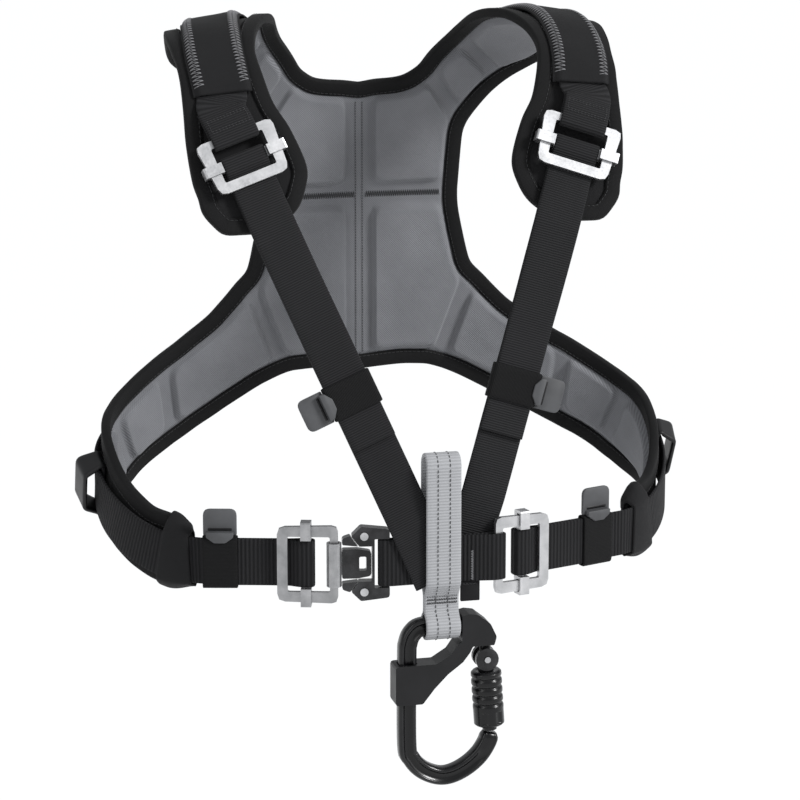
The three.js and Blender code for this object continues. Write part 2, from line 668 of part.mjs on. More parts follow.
// Shoulder webbing: its route on the pattern, from its sewn end on the back to the mouth of the sleeve.
const WEB_ROUTE = [ // u as a share of SHOULDER_SPREAD, v of SHOULDER_RUN
  { u: 0.2, v: 0.19 }, { u: 0.2, v: 0.25 }, { u: 0.22, v: 0.3 }, { u: 0.27, v: 0.35 }, { u: 0.35, v: 0.4 },
  { u: 0.44, v: 0.44 }, { u: 0.54, v: 0.48 }, { u: 0.64, v: 0.523 }, { u: 0.72, v: 0.57 },
  { u: 0.78, v: 0.62 }, { u: 0.815, v: 0.67 }, { u: 0.832, v: 0.72 }, { u: 0.832, v: 0.76 }, { u: 0.822, v: 0.8 },
];
const WEB_LIFT = SHELL_OUT + SEAT + TAPE + GAP + WEB / 2;
const ROUTE_STEPS = 27;
const SLEEVE_FROM = 12;
const webCurve = new THREE.SplineCurve(WEB_ROUTE.map(({ u, v }) => flat(u * SHOULDER_SPREAD, v * SHOULDER_RUN)));

function routeStation(curve, sign, t) {
  const p = curve.getPointAt(t);
  const tangent = curve.getTangentAt(t);
  return { u: sign * p.x, v: p.y, sideU: -tangent.y, sideV: sign * tangent.x };
}

function onPattern(station, offset, lift) {
  return lifted(station.u + station.sideU * offset, station.v + station.sideV * offset, lift);
}

// A stretch of strap that lies on the pattern: its three columns bend as the pattern does there.
function patternStrap(station, lift, width = WEB_WIDTH) {
  const column = (side, t) => onPattern(station, (side * width) / 2, lift + (t * WEB) / 2);
  const across = column(1, 0).sub(column(-1, 0)).normalize();
  const ring = [column(1, 1), column(0, 1), column(-1, 1), column(-1, -1), column(0, -1), column(1, -1)];
  return { p: column(0, 0), across, ring };
}

SIDES.forEach(([side, sign]) => {
  const frame = SHOULDER_ADJUSTER[side];
  const stations = [];
  for (let n = 0; n <= ROUTE_STEPS; n += 1) {
    stations.push(patternStrap(routeStation(webCurve, sign, n / ROUTE_STEPS), WEB_LIFT));
  }
  const across = turned(frame, 0, 1, 0);
  if (across.dot(stations[ROUTE_STEPS].across) < 0) across.negate();
  const bar = fixedPath(SHOULDER_FRAME);
  const start = bar[0][0];
  const rest = WEB_LIFT + PLY - SHOULDER_LIFT;
  const ramp = [[start - 17, rest], [start - 6, bar[0][1] - 1]];
  const tail = [[start - 6, -bar[0][1] - 0.3], [start - 17, rest - PLY]];
  const free = [...ramp, ...bar, ...tail].map(([x, z]) => ({ p: at(frame, x, 0, z), across }));
  const whole = [...stations, ...free];
  addPart(`shoulder_webbing_${side}`, strap(whole), CLOTH);
});

// Smooth sleeve over the webbing on each shoulder, raised over the webbing and resting on the edge tape.
const SLEEVE_WIDTH = 37;
const SLEEVE_WALL = 1.2;
function sleeveGeometry(sign) {
  const low = SHELL_OUT + SEAT + TAPE + GAP;
  const high = WEB_LIFT + WEB / 2 + SEAT;
  const under = [[SLEEVE_WIDTH / 2, low], [WEB_WIDTH / 2 + 0.4, high], [0, high],
    [-WEB_WIDTH / 2 - 0.4, high], [-SLEEVE_WIDTH / 2, low]];
  const rings = [];
  for (let n = SLEEVE_FROM; n <= ROUTE_STEPS; n += 1) {
    const station = routeStation(webCurve, sign, n / ROUTE_STEPS);
    const lower = under.map(([offset, lift]) => onPattern(station, offset, lift));
    const upper = under.map(([offset, lift]) => onPattern(station, offset, lift + SLEEVE_WALL)).reverse();
    rings.push([...lower, ...upper]);
  }
  return skinStrip(rings);
}
SIDES.forEach(([side, sign]) => addPart(`shoulder_sleeve_${side}`, sleeveGeometry(sign), CLOTH));

// V straps: flat behind or before the chest webbing, straight up to the pad tip, along the pad to the
// shoulder adjuster, round its bar and back down in front of themselves.
const V_WIDTH = 29;
const V_CLEAR = 52;
const V_FOOT = {
  left: { x: -12, y: CROSSING_Y - PLY * 1.5, z: -303, length: 40 },
  right: { x: 35.8, y: CROSSING_Y + PLY * 1.5 + 2 * GAP, z: -288, length: 52 },
};
const V_TAIL_Z = -251;
const V_KEEPER_Z = -221;

function vLine(side) {
  const frame = SHOULDER_ADJUSTER[side];
  const path = rollPath(SHOULDER_FRAME);
  const top = at(frame, V_CLEAR, 0, PLY_FAR);
  const foot = V_FOOT[side];
  const bend = V(foot.x, foot.y, foot.z);
  const run = bend.clone().sub(top);
  const fall = V(run.x, 0, run.z).normalize();
  const footAcross = V(-fall.z, 0, fall.x);
  const topAcross = turned(frame, 0, 1, 0);
  if (topAcross.dot(footAcross) < 0) topAcross.negate();
  const normal = V().crossVectors(footAcross, run).normalize();
  if (normal.y > 0) normal.negate();
  return { frame, path, top, bend, run, fall, footAcross, topAcross, normal };
}

const vAcross = (line, t) => line.topAcross.clone().lerp(line.footAcross, Math.min(1, t * 2.5)).normalize();
const vShare = (line, z) => (z - line.top.z) / line.run.z;
function vPoint(line, t, lift = 0) {
  return line.top.clone().addScaledVector(line.run, t).addScaledVector(line.normal, lift);
}

SIDES.forEach(([side]) => {
  const line = vLine(side);
  const foot = V_FOOT[side];
  const place = ([x, z]) => ({ p: at(line.frame, x, 0, z), across: line.topAcross });
  const stations = [{ p: line.bend.clone().addScaledVector(line.fall, foot.length), across: line.footAcross },
    { p: line.bend, across: line.footAcross }];
  [0.7, 0.4, 0.15].forEach((t) => stations.push({ p: vPoint(line, t), across: vAcross(line, t) }));
  stations.push(place([V_CLEAR, PLY_FAR]), ...line.path.map(place), place([V_CLEAR, PLY_NEAR]));
  [0.15, 0.4, vShare(line, V_TAIL_Z)].forEach((t) => {
    stations.push({ p: vPoint(line, t, PLY), across: vAcross(line, t) });
  });
  addPart(`v_strap_${side}`, strap(stations, WEB, V_WIDTH), CLOTH);
});

// Elastic keeper: a band round two plies, in its own axes x along the strap, y across, z to the front.
const KEEPER_ROOM = 0.5;
function keeperGeometry(width) {
  const y = width / 2 + KEEPER_ROOM;
  const z = (PLY + WEB) / 2 + KEEPER_ROOM;
  const rim = box2(-y - ELASTIC, -z - ELASTIC, y + ELASTIC, z + ELASTIC, 1);
  const band = plate(rim, [box2(-y, -z, y, z)], ELASTIC_WIDTH, 2);
  return band.rotateX(Math.PI / 2).rotateZ(Math.PI / 2);
}
const TAB_PROUD = 17;
const TAB_LENGTH = 21;
function tabGeometry(width) {
  const y = width / 2 + KEEPER_ROOM + ELASTIC + SLACK;
  const half = TAB_LENGTH / 2;
  return plate([[-half, y, 1], [half, y, 1], [half, y + TAB_PROUD, 4], [-half, y + TAB_PROUD, 4]], [], TAB);
}

// Places a keeper and its tab on a strap: x down the strap, the tab on the +y edge.
function addKeeper(name, middle, along, tabWay, width) {
  const front = V().crossVectors(along, tabWay).normalize();
  const x = along.clone();
  if (front.y > 0) {
    front.negate();
    x.negate();
  }
  const y = V().crossVectors(front, x).normalize();
  const group = framedGroup(frameOf(middle, x, y, front));
  addPart(`${name}`, keeperGeometry(width), CLOTH, group);
  addPart(name.replace('keeper', 'keeper_tab'), tabGeometry(width), GREY_PLASTIC, group);
}

SIDES.forEach(([side, sign]) => {
  const line = vLine(side);
  const along = line.run.clone().normalize();
  const tabWay = line.footAcross.clone();
  if (tabWay.x * sign < 0) tabWay.negate();
  addKeeper(`v_keeper_${side}`, vPoint(line, vShare(line, V_KEEPER_Z), PLY / 2), along, tabWay, V_WIDTH);
});

// Chest webbing: one strap round the back, outside the wings, from adjuster to adjuster.
// u as a share of WING_REACH, v as a share of PANEL_HEIGHT.
const CHEST_V = (CHEST_HEIGHT + BACK_RISE + BACK_DEPTH) / PANEL_HEIGHT;
const CHEST_ROUTE = [
  { u: 0, v: 0.22 }, { u: 0.1, v: 0.21 }, { u: 0.2, v: 0.16 }, { u: 0.3, v: 0.08 }, { u: 0.4, v: -0.01 },
  { u: 0.5, v: -0.1 }, { u: 0.6, v: -0.18 }, { u: 0.7, v: -0.255 }, { u: 0.8, v: -0.325 },
  { u: 0.88, v: -0.37 }, { u: 0.96, v: CHEST_V }, { u: 1.03, v: CHEST_V },
];
const CHEST_STEPS = 22;
const CHEST_KEEPER_U = { left: 322, right: 336 };
const CHEST_TAIL = 12;
const chestCurve = new THREE.SplineCurve(CHEST_ROUTE.map(({ u, v }) => flat(u * WING_REACH, v * PANEL_HEIGHT)));

function chestStation(sign, t) {
  const p = chestCurve.getPointAt(t);
  const tangent = t > 0 && t < 1 ? chestCurve.getTangentAt(t) : flat(1, 0);
  return { u: sign * p.x, v: p.y, sideU: -sign * tangent.y, sideV: tangent.x };
}

// The straight stretch from the wing end to the adjuster, and the way its front faces.
function chestChord(sign, side) {
  const inner = patternStrap(chestStation(sign, 1), CHEST_LIFT).p;
  const frame = CHEST_ADJUSTER[side];
  const path = rollPath(CHEST_FRAME);
  const outer = at(frame, path[0][0] + 3, 0, path[0][1]);
  const straight = outer.sub(inner);
  const upright = V(0, 0, 1);
  const front = V().crossVectors(straight, upright).normalize();
  if (front.y > 0) front.negate();
  return { inner, frame, path, straight, upright, front };
}

function chestWebbing() {
  const build = (sign, side) => {
    const { inner, frame, path, straight, upright, front } = chestChord(sign, side);
    const list = [];
    for (let n = 0; n <= CHEST_STEPS; n += 1) list.push(patternStrap(chestStation(sign, n / CHEST_STEPS), CHEST_LIFT));
    [0.33, 0.66].forEach((t) => list.push({ p: inner.clone().addScaledVector(straight, t), across: upright }));
    path.forEach(([x, z]) => list.push({ p: at(frame, x, 0, z), across: upright }));
    [0.66, 0.33, CHEST_TAIL / straight.length()].forEach((t) => {
      list.push({ p: inner.clone().addScaledVector(straight, t).addScaledVector(front, PLY), across: upright });
    });
    return list;
  };
  return strap([...build(-1, 'left').reverse(), ...build(1, 'right').slice(1)]);
}
addPart('chest_webbing', chestWebbing(), CLOTH);

SIDES.forEach(([side, sign]) => {
  const { inner, straight, upright, front } = chestChord(sign, side);
  const share = (sign * ringPoint(CHEST_KEEPER_U[side]).x - inner.x) / straight.x;
  const middle = inner.clone().addScaledVector(straight, share).addScaledVector(front, PLY / 2);
  addKeeper(`chest_keeper_${side}`, middle, straight.clone().normalize(), upright, WEB_WIDTH);
});

// Bridge that holds the chest webbing on the front end of each wing.
const BRIDGE_WIDTH = 36;
const BRIDGE_FROM = 0.91;
const BRIDGE_TO = 0.965;
function bridgeGeometry(sign) {
  const low = SHELL_OUT + SEAT + TAPE + GAP;
  const high = CHEST_LIFT + WEB / 2 + GAP;
  const foot = WEB_WIDTH / 2 + 1.4;
  const step = [[BRIDGE_WIDTH / 2 + 3, low], [foot + 1.6, low], [foot, high]];
  const under = [...step, [0, high], ...step.map(([o, l]) => [-o, l]).reverse()];
  const rings = [0, 0.5, 1].map((t) => {
    const share = BRIDGE_FROM + (BRIDGE_TO - BRIDGE_FROM) * t;
    const v = chestCurve.getPointAt(share / CHEST_ROUTE[CHEST_ROUTE.length - 1].u).y;
    const station = { u: sign * share * WING_REACH, v, sideU: 0, sideV: 1 };
    const lower = under.map(([offset, lift]) => onPattern(station, offset, lift));
    const upper = under.map(([offset, lift]) => onPattern(station, offset, lift + SLEEVE_WALL)).reverse();
    return [...lower, ...upper];
  });
  return skinStrip(rings);
}
SIDES.forEach(([side, sign]) => addPart(`wing_sleeve_${side}`, bridgeGeometry(sign), CLOTH));

// Side loops: stiff bands standing out round the chest webbing on each wing.
const SIDE_LOOP_STATION = 15;
const SIDE_LOOP_PROUD = 19;
const SIDE_LOOP_HALF = 22;
const SIDE_LOOP_WALL = 3;
const SIDE_LOOP_WIDTH = 6.5;
SIDES.forEach(([side, sign]) => {
  const station = chestStation(sign, SIDE_LOOP_STATION / CHEST_STEPS);
  const up = onPattern(station, 1, 0).sub(onPattern(station, -1, 0)).normalize();
  const out = outward(station.u, station.v);
  const along = V().crossVectors(up, out).normalize();
  const group = framedGroup(frameOf(lifted(station.u, station.v, 0), up, V().crossVectors(along, up), along));
  const base = SHELL_OUT + SEAT + TAPE + GAP;
  const half = SIDE_LOOP_HALF;
  const rim = [[-half, base, 2], [half, base, 2], [half - 1.5, SIDE_LOOP_PROUD, 6], [1.5 - half, SIDE_LOOP_PROUD, 6]];
  const inside = half - SIDE_LOOP_WALL;
  const hole = [[-inside, base + LOOP_UNDER, 1], [inside, base + LOOP_UNDER, 1],
    [inside - 1.5, SIDE_LOOP_PROUD - SIDE_LOOP_WALL, 4], [1.5 - inside, SIDE_LOOP_PROUD - SIDE_LOOP_WALL, 4]];
  addPart(`side_loop_${side}`, plate(rim, [hole], SIDE_LOOP_WIDTH, 3), BLACK_PLASTIC, group);
});

// Quick buckle. Its own axes: x from the breastbone to the left adjuster, y across, z to the front.
const QUICK = chestFrame(-1, 42.3, -117.2, 9);
const QUICK_BAR_X = -14.5;
const QUICK_THICK = 7;
const SLOT_HALF = WEB_WIDTH / 2 + 0.8;
const TONGUE_HALF = 11.3;
const RIVET_X = -1;
const RIVET_Y = 18;
const RIVET_SHANK = 1.8;
const RIVET_HEAD = 2.6;
const solidBox = (x0, y0, z0, x1, y1, z1) => new THREE.BoxGeometry(x1 - x0, y1 - y0, z1 - z0)
  .translate((x0 + x1) / 2, (y0 + y1) / 2, (z0 + z1) / 2);
const disc = (radius, depth, sides = 16) => new THREE.CylinderGeometry(radius, radius, depth, sides).rotateX(Math.PI / 2);
const quick = framedGroup(QUICK);
const quickBack = QUICK_BAR_X - FIXED_BAR / 2;
const barFront = QUICK_BAR_X + FIXED_BAR / 2;
const both = (list) => [...list, ...list.map(([x, y, r]) => [x, -y, r]).reverse()];

function quickBodyGeometry() {
  const half = QUICK_THICK / 2;
  const rim = both([[quickBack, 22, 2], [1, 24, 2], [7, 18, 1], [2, TONGUE_HALF], [-6, TONGUE_HALF]]);
  const slot = box2(barFront, -SLOT_HALF, barFront + 4.4, SLOT_HALF, 0.5);
  const body = plate(rim, [slot], QUICK_THICK, 2);
  const recess = FRAME_THICK / 2;
  const behind = quickBack - 1;
  return cut(body, solidBox(behind, -SLOT_HALF, recess, barFront + 1, SLOT_HALF, half + 1),
    solidBox(behind, -SLOT_HALF, -half - 1, barFront + 1, SLOT_HALF, -recess),
    ...[1, -1].map((way) => disc(RIVET_SHANK + SLACK, QUICK_THICK + 2).translate(RIVET_X, way * RIVET_Y, 0)));
}
addPart('quick_body', quickBodyGeometry(), BLACK_METAL, quick);

const LINK_THICK = 2.4;
const TONGUE_PLATE = 5;
const LINK_HALF = 14;
const linkBar = V(-CHEST_FRAME.length / 2 + FIXED_BAR / 2, 0, 0).applyMatrix4(CHEST_ADJUSTER.left)
  .applyMatrix4(QUICK.clone().invert());
const LINK_HOLE = Math.hypot(FIXED_BAR, FRAME_THICK) / 2 + SLACK;
const LINK_RING = LINK_HOLE + 1.5;
const tongueEnd = linkBar.x - LINK_RING - GAP;

function tongueGeometry() {
  const rim = both([[-5.5, 8, 2], [3, 9.5, 2], [tongueEnd, 9.5, 1]]);
  const eye = box2(-2.5, -4.5, 2, 4.5, 1);
  const body = plate(rim, [eye], TONGUE_PLATE, 2);
  return cut(body, solidBox(4, -7.4, -LINK_THICK / 2 - SLACK, tongueEnd + 1, 7.4, LINK_THICK / 2 + SLACK));
}
addPart('quick_tongue', tongueGeometry(), BLACK_METAL, quick);

function linkGeometry() {
  const ring = new THREE.CylinderGeometry(LINK_RING, LINK_RING, 2 * LINK_HALF, 16).translate(linkBar.x, 0, linkBar.z);
  const hole = new THREE.CylinderGeometry(LINK_HOLE, LINK_HOLE, 2 * LINK_HALF + 2, 16).translate(linkBar.x, 0, linkBar.z);
  const blade = solidBox(5, -7, -LINK_THICK / 2, linkBar.x - LINK_HOLE, 7, LINK_THICK / 2);
  return cut(join(ring, blade), hole);
}
addPart('quick_link', linkGeometry(), STEEL, quick);

[['upper', -1], ['lower', 1]].forEach(([place, way]) => {
  const lever = plate([[2.9, way * TONGUE_HALF], [7.8, way * 18.2, 1], [tongueEnd, way * 16.5, 2],
    [tongueEnd, way * 12.4, 1]],
    [], QUICK_THICK - 1, 2);
  addPart(`quick_lever_${place}`, lever, BLACK_METAL, quick);
  const head = disc(RIVET_HEAD, 1).translate(0, 0, QUICK_THICK / 2 + SLACK + 0.5);
  const shank = disc(RIVET_SHANK, QUICK_THICK + SLACK).translate(0, 0, SLACK / 2 + 0.1);
  addPart(`quick_rivet_${place}`, join(head, shank).translate(RIVET_X, way * RIVET_Y, 0), STEEL, quick);
});

// Front webbing: a sewn ring of webbing from the quick buckle's bar to the right adjuster's bar.
function frontWebbing() {
  const inWorld = (frame, list) => list.map(([x, z]) => at(frame, x, 0, z));
  const right = inWorld(CHEST_ADJUSTER.right, fixedPath(CHEST_FRAME));
  const offset = QUICK_BAR_X + CHEST_FRAME.length / 2 - FIXED_BAR / 2;
  const left = inWorld(QUICK, fixedPath(CHEST_FRAME).map(([x, z]) => [x + offset, z])).reverse();
  const front = [V(-12, CROSSING_Y - PLY / 2, CHEST_HEIGHT), V(24, CROSSING_Y - PLY / 2, CHEST_HEIGHT)];
  const rear = [V(24, CROSSING_Y + PLY / 2, CHEST_HEIGHT), V(-12, CROSSING_Y + PLY / 2, CHEST_HEIGHT)];
  const path = [...front, ...right, ...rear, ...left];
  const upright = V(0, 0, 1);
  const rings = path.map((p, n) => {
    const a = p.clone().sub(path[(n + path.length - 1) % path.length]).normalize();
    const b = path[(n + 1) % path.length].clone().sub(p).normalize();
    const side = V().crossVectors(upright, a).add(V().crossVectors(upright, b)).normalize();
    const reach = WEB / 2 / Math.max(0.6, side.dot(V().crossVectors(upright, a)));
    const corner = (h, w) => p.clone().addScaledVector(upright, (h * WEB_WIDTH) / 2).addScaledVector(side, w * reach);
    return [corner(1, 1), corner(-1, 1), corner(-1, -1), corner(1, -1)];
  });
  return loft(rings, true);
}
addPart('front_webbing', frontWebbing(), CLOTH);

// Sternal loop: its upper ring holds the crossing, the lower eye holds the carabiner, sewn between them.
function sternalLoopGeometry() {
  const outerHalf = LOOP_HALF + LOOP_WEB;
  const neck = LOOP_WEB + 0.2;
  const eye = LOOP_EYE + LOOP_WEB;
  const profile = [];
  const arc = (cz, radius, from, to, steps) => {
    for (let k = 0; k <= steps; k += 1) {
      const a = THREE.MathUtils.degToRad(from + ((to - from) * k) / steps);
      profile.push([radius * Math.cos(a), cz + radius * Math.sin(a)]);
    }
  };
  arc(LOOP_TOP - outerHalf, outerHalf, 0, 180, 8);
  profile.push([-outerHalf, TACK_TOP + 6], [-neck, TACK_TOP - 1], [-neck, PIVOT_Z + eye + 3]);
  arc(PIVOT_Z, eye, 118, 422, 16);
  profile.push([neck, PIVOT_Z + eye + 3], [neck, TACK_TOP - 1], [outerHalf, TACK_TOP + 6]);
  const upper = [[-LOOP_HALF, TACK_TOP + 6], [0, TACK_TOP + 1], [LOOP_HALF, TACK_TOP + 6],
    [LOOP_HALF, LOOP_TOP - LOOP_WEB, LOOP_HALF * 0.9], [-LOOP_HALF, LOOP_TOP - LOOP_WEB, LOOP_HALF * 0.9]];
  const ring = plate(profile, [upper], LOOP_WIDTH, 4);
  const hole = disc(LOOP_EYE, LOOP_WIDTH + 2, 20).translate(0, PIVOT_Z, 0);
  return cut(ring, hole).applyMatrix4(frameOf(V(LOOP_X, CROSSING_Y, 0), V(0, -1, 0), V(0, 0, 1), V(-1, 0, 0)));
}
addPart('sternal_loop', sternalLoopGeometry(), GREY_WEB);

// Bare tag sewn under the webbing's lower edge, beside the sternal loop.
const TAG = { x0: 20, x1: 32.5, top: CHEST_HEIGHT - WEB_WIDTH / 2 - GAP, height: 13, thick: 1.4 };
addPart('end_tag', solidBox(TAG.x0, CROSSING_Y - TAG.thick / 2, TAG.top - TAG.height,
  TAG.x1, CROSSING_Y + TAG.thick / 2, TAG.top), CLOTH);

// Carabiner. Its body follows this centreline from the gate tongue round to the nose, in x and z.
const TONGUE_LINE = [[PIN_X, PIN_Z - 4.8], [PIN_X, PIN_Z], [PIN_X - 0.1, PIN_Z + 8.9]];
const BODY_LINE = [[34.8, -380.5], [27, -372.8], [19, PIVOT_Z], [-4, PIVOT_Z], [-11, -373.5], [-14, -380],
  [-14.7, -390], [-14.7, -446], [-12, -456.5], [-5, -464.5], [5, -469.3], [14, -469.3], [24, -465],
  [32.5, -458], [38, -449.5], [39.7, -443.2]];
const CHAMFER = 2.4;

function bodyRings(grow = 0) {
  const line = [...TONGUE_LINE, ...BODY_LINE];
  return line.map(([x, z], n) => {
    const before = line[Math.max(n - 1, 0)];
    const after = line[Math.min(n + 1, line.length - 1)];
    const inward = V(after[1] - before[1], 0, before[0] - after[0]).normalize().negate();
    const tongue = n < TONGUE_LINE.length;
    const w = (tongue ? TONGUE_THICK : BAR_WIDTH) / 2 + grow;
    const d = BAR_DEPTH / 2 + grow;
    const wide = (tongue ? TONGUE_THICK + 2.6 : BAR_WIDTH) / 2 + grow;
    const deep = (tongue ? TONGUE_THICK / 2 : d) + grow * (tongue ? 1 : 0);
    const c = tongue ? 0.8 : CHAMFER;
    const p = V(x, CROSSING_Y, z);
    const side = tongue ? wide : w;
    return [[side, deep - c], [side - c, deep], [c - side, deep], [-side, deep - c],
      [-side, c - deep], [c - side, -deep], [side - c, -deep], [side, c - deep]]
      .map(([i, j]) => p.clone().addScaledVector(inward, i).add(V(0, j, 0)));
  });
}
const yHole = (radius, depth, x, z, sides = 16) => new THREE.CylinderGeometry(radius, radius, depth, sides)
  .translate(x, CROSSING_Y, z);
addPart('connector_body', cut(loft(bodyRings()), yHole(PIN_RADIUS + SLACK, 40, PIN_X, PIN_Z)), BLACK_METAL);
addPart('connector_rivet', yHole(PIN_RADIUS, FORK_DEPTH + 1.6, PIN_X, PIN_Z), STEEL);

// Gate: its own z runs up from the pin along the gate, turned about the pin to meet the nose.
const gateGroup = new THREE.Group();
gateGroup.position.set(PIN_X, CROSSING_Y, PIN_Z);
gateGroup.rotation.y = -GATE_TILT;
parts.add(gateGroup);
const GATE_SLOT = TONGUE_THICK / 2 + SLACK;
function gateGeometry() {
  const cheek = new THREE.CylinderGeometry(CHEEK_RADIUS, CHEEK_RADIUS, FORK_DEPTH, 20);
  const rod = new THREE.CylinderGeometry(GATE_RADIUS, GATE_RADIUS, GATE_LENGTH - 4, 20).rotateX(Math.PI / 2)
    .translate(0, 0, -(GATE_LENGTH + 4) / 2);
  const slot = solidBox(-12, -GATE_SLOT, -6.1, 12, GATE_SLOT, 12);
  return cut(join(cheek, rod), slot, new THREE.CylinderGeometry(PIN_RADIUS + SLACK, PIN_RADIUS + SLACK, 40, 16));
}
addPart('connector_gate', gateGeometry(), BLACK_METAL, gateGroup);

function lockSleeveGeometry() {
  const length = SLEEVE_BOTTOM - SLEEVE_TOP;
  const middle = -(SLEEVE_TOP + SLEEVE_BOTTOM) / 2;
  const tube = (radius, tall, sides) => new THREE.CylinderGeometry(radius, radius, tall, sides).rotateX(Math.PI / 2)
    .translate(0, 0, middle);
  return cut(tube(SLEEVE_RADIUS, length, 32), tube(GATE_RADIUS + SLACK, length + 2, 20));
}
addPart('connector_sleeve', lockSleeveGeometry(), BLACK_METAL, gateGroup);

// Positioning bar: clipped on the spine, across the inside and round the top of the body.
const BAR_OUTLINE = [[-23.6, -419, 2], [-6, -419, 2], [1.5, -409.5], [10.2, -400.6], [20, -393.3, 3], [24.5, -387.5, 3],
  [26.5, -383.5, 1], [40.5, -383.5, 1], [42, -378, 3], [38, -369.5, 3], [30, -363, 3], [24, -362, 1], [19.5, -363, 1],
  [19.5, -380, 2], [16.5, -381.8, 2], [12.5, -387.5, 2], [3, -393.3, 2], [-23.6, -393.3, 2]];
function positioningGeometry() {
  const slab = plate(BAR_OUTLINE, [], BAR_DEPTH + 5, 2)
    .applyMatrix4(frameOf(V(0, CROSSING_Y, 0), V(1, 0, 0), V(0, 0, 1), V(0, -1, 0)));
  return cut(slab, loft(bodyRings(GAP + 0.05)));
}
addPart('positioning_bar', positioningGeometry(), BLACK_PLASTIC);

export default parts;
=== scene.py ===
import math

import bmesh
import bpy
import numpy as np
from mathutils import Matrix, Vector


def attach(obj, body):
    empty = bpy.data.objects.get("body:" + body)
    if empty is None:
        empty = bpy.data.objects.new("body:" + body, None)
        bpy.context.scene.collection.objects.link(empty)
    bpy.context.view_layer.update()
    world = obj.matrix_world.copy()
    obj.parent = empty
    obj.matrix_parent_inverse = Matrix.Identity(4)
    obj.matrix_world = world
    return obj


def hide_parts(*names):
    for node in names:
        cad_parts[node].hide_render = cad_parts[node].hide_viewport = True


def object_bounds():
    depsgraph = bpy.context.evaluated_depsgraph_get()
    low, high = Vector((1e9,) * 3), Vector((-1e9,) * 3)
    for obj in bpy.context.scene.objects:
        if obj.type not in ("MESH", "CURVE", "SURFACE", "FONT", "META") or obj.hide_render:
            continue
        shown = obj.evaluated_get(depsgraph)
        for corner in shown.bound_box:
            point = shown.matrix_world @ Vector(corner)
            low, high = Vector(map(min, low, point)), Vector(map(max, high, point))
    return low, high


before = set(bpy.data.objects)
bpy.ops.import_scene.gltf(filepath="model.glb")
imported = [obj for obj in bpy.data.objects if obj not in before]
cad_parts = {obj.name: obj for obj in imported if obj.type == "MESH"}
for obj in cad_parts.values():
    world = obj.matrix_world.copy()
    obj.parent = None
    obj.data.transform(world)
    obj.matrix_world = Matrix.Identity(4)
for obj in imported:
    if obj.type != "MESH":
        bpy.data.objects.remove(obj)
CAD_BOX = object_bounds()
MM = 0.001
FULL_TURN = 2 * math.pi
SIDES = (("left", -1), ("right", 1))

# Camera at the photograph's angle
IMAGE_SIZE, FOCAL_PX, SENSOR, PX_PER_MM = 800, 3000, 36.0, 1.38 / 0.9
AZIMUTH, ELEVATION = math.radians(-14), math.radians(13)
CAMERA_RIGHT = Vector((math.cos(AZIMUTH), math.sin(AZIMUTH), 0))
CAMERA_FORWARD = Vector((-math.sin(AZIMUTH) * math.cos(ELEVATION),
                         math.cos(AZIMUTH) * math.cos(ELEVATION), -math.sin(ELEVATION)))
AIM = (CAMERA_RIGHT * (10 / PX_PER_MM) - Vector((0, 18, 247.5))) * MM
CAMERA_DISTANCE = FOCAL_PX / PX_PER_MM * MM


def add_object(name, data):
    obj = bpy.data.objects.new(name, data)
    bpy.context.scene.collection.objects.link(obj)
    return obj


def face_along(obj, direction):
    """Turns a camera or a light along a direction."""
    obj.rotation_euler = direction.to_track_quat("-Z", "Y").to_euler()


def make_camera():
    data = bpy.data.cameras.new("camera")
    data.sensor_width = SENSOR
    data.lens = SENSOR * FOCAL_PX / IMAGE_SIZE
    data.clip_start, data.clip_end = 0.05, 50
    camera = add_object("camera", data)
    camera.location = AIM - CAMERA_FORWARD * CAMERA_DISTANCE
    face_along(camera, CAMERA_FORWARD)
    bpy.context.scene.camera = camera


# Meshes from rows of points
def mesh_object(name, points, faces, materials, uvs=None, uv_faces=None, face_slots=None):
    mesh = bpy.data.meshes.new(name)
    mesh.from_pydata((np.asarray(points) * MM).tolist(), [], faces)
    for material in materials:
        mesh.materials.append(material)
    if uvs is not None:
        layer = mesh.uv_layers.new(name="UVMap")
        layer.data.foreach_set("uv", [c for face in (uv_faces or faces) for i in face for c in uvs[i]])
    if face_slots is not None:
        mesh.polygons.foreach_set("material_index", face_slots)
    mesh.polygons.foreach_set("use_smooth", [True] * len(mesh.polygons))
    mesh.update()
    return add_object(name, mesh)


def orient(obj, merge=0):
    """Turns all faces outwards, once points nearer than `merge` are joined."""
    work = bmesh.new()
    work.from_mesh(obj.data)
    if merge:
        bmesh.ops.remove_doubles(work, verts=work.verts, dist=merge)
    bmesh.ops.recalc_face_normals(work, faces=work.faces)
    work.to_mesh(obj.data)
    work.free()
    return obj


def tube_mesh(name, rings, material, closed=False, uvs=None):
    """Skins rings of equal length; rings is an array (rows, points, 3) in millimetres."""
    rings = np.asarray(rings, float)
    rows, count = rings.shape[:2]
    faces, uv_faces = [], []
    for i in range(rows if closed else rows - 1):
        a, b, next_row = i * count, ((i + 1) % rows) * count, (i + 1) * count
        for k in range(count):
            n = (k + 1) % count
            faces.append((a + k, a + n, b + n, b + k))
            uv_faces.append((a + k, a + n, next_row + n, next_row + k))
    if not closed:
        caps = [tuple(range(count - 1, -1, -1)), tuple(range((rows - 1) * count, rows * count))]
        faces += caps
        uv_faces += caps
    if uvs is not None:
        uvs = np.asarray(uvs, float)
        if closed:
            uvs = np.concatenate([uvs, 2 * uvs[-1:] - uvs[-2:-1]])
        uvs = uvs.reshape(-1, 2)
    return orient(mesh_object(name, rings.reshape(-1, 3), faces, [material], uvs, uv_faces))


def finish_piece(obj, slot, *replaces, body="harness"):
    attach(obj, body)
    if replaces:
        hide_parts(*replaces)


def unit(v):
    v = np.asarray(v, float)
    return v / np.maximum(np.linalg.norm(v, axis=-1, keepdims=True), 1e-9)


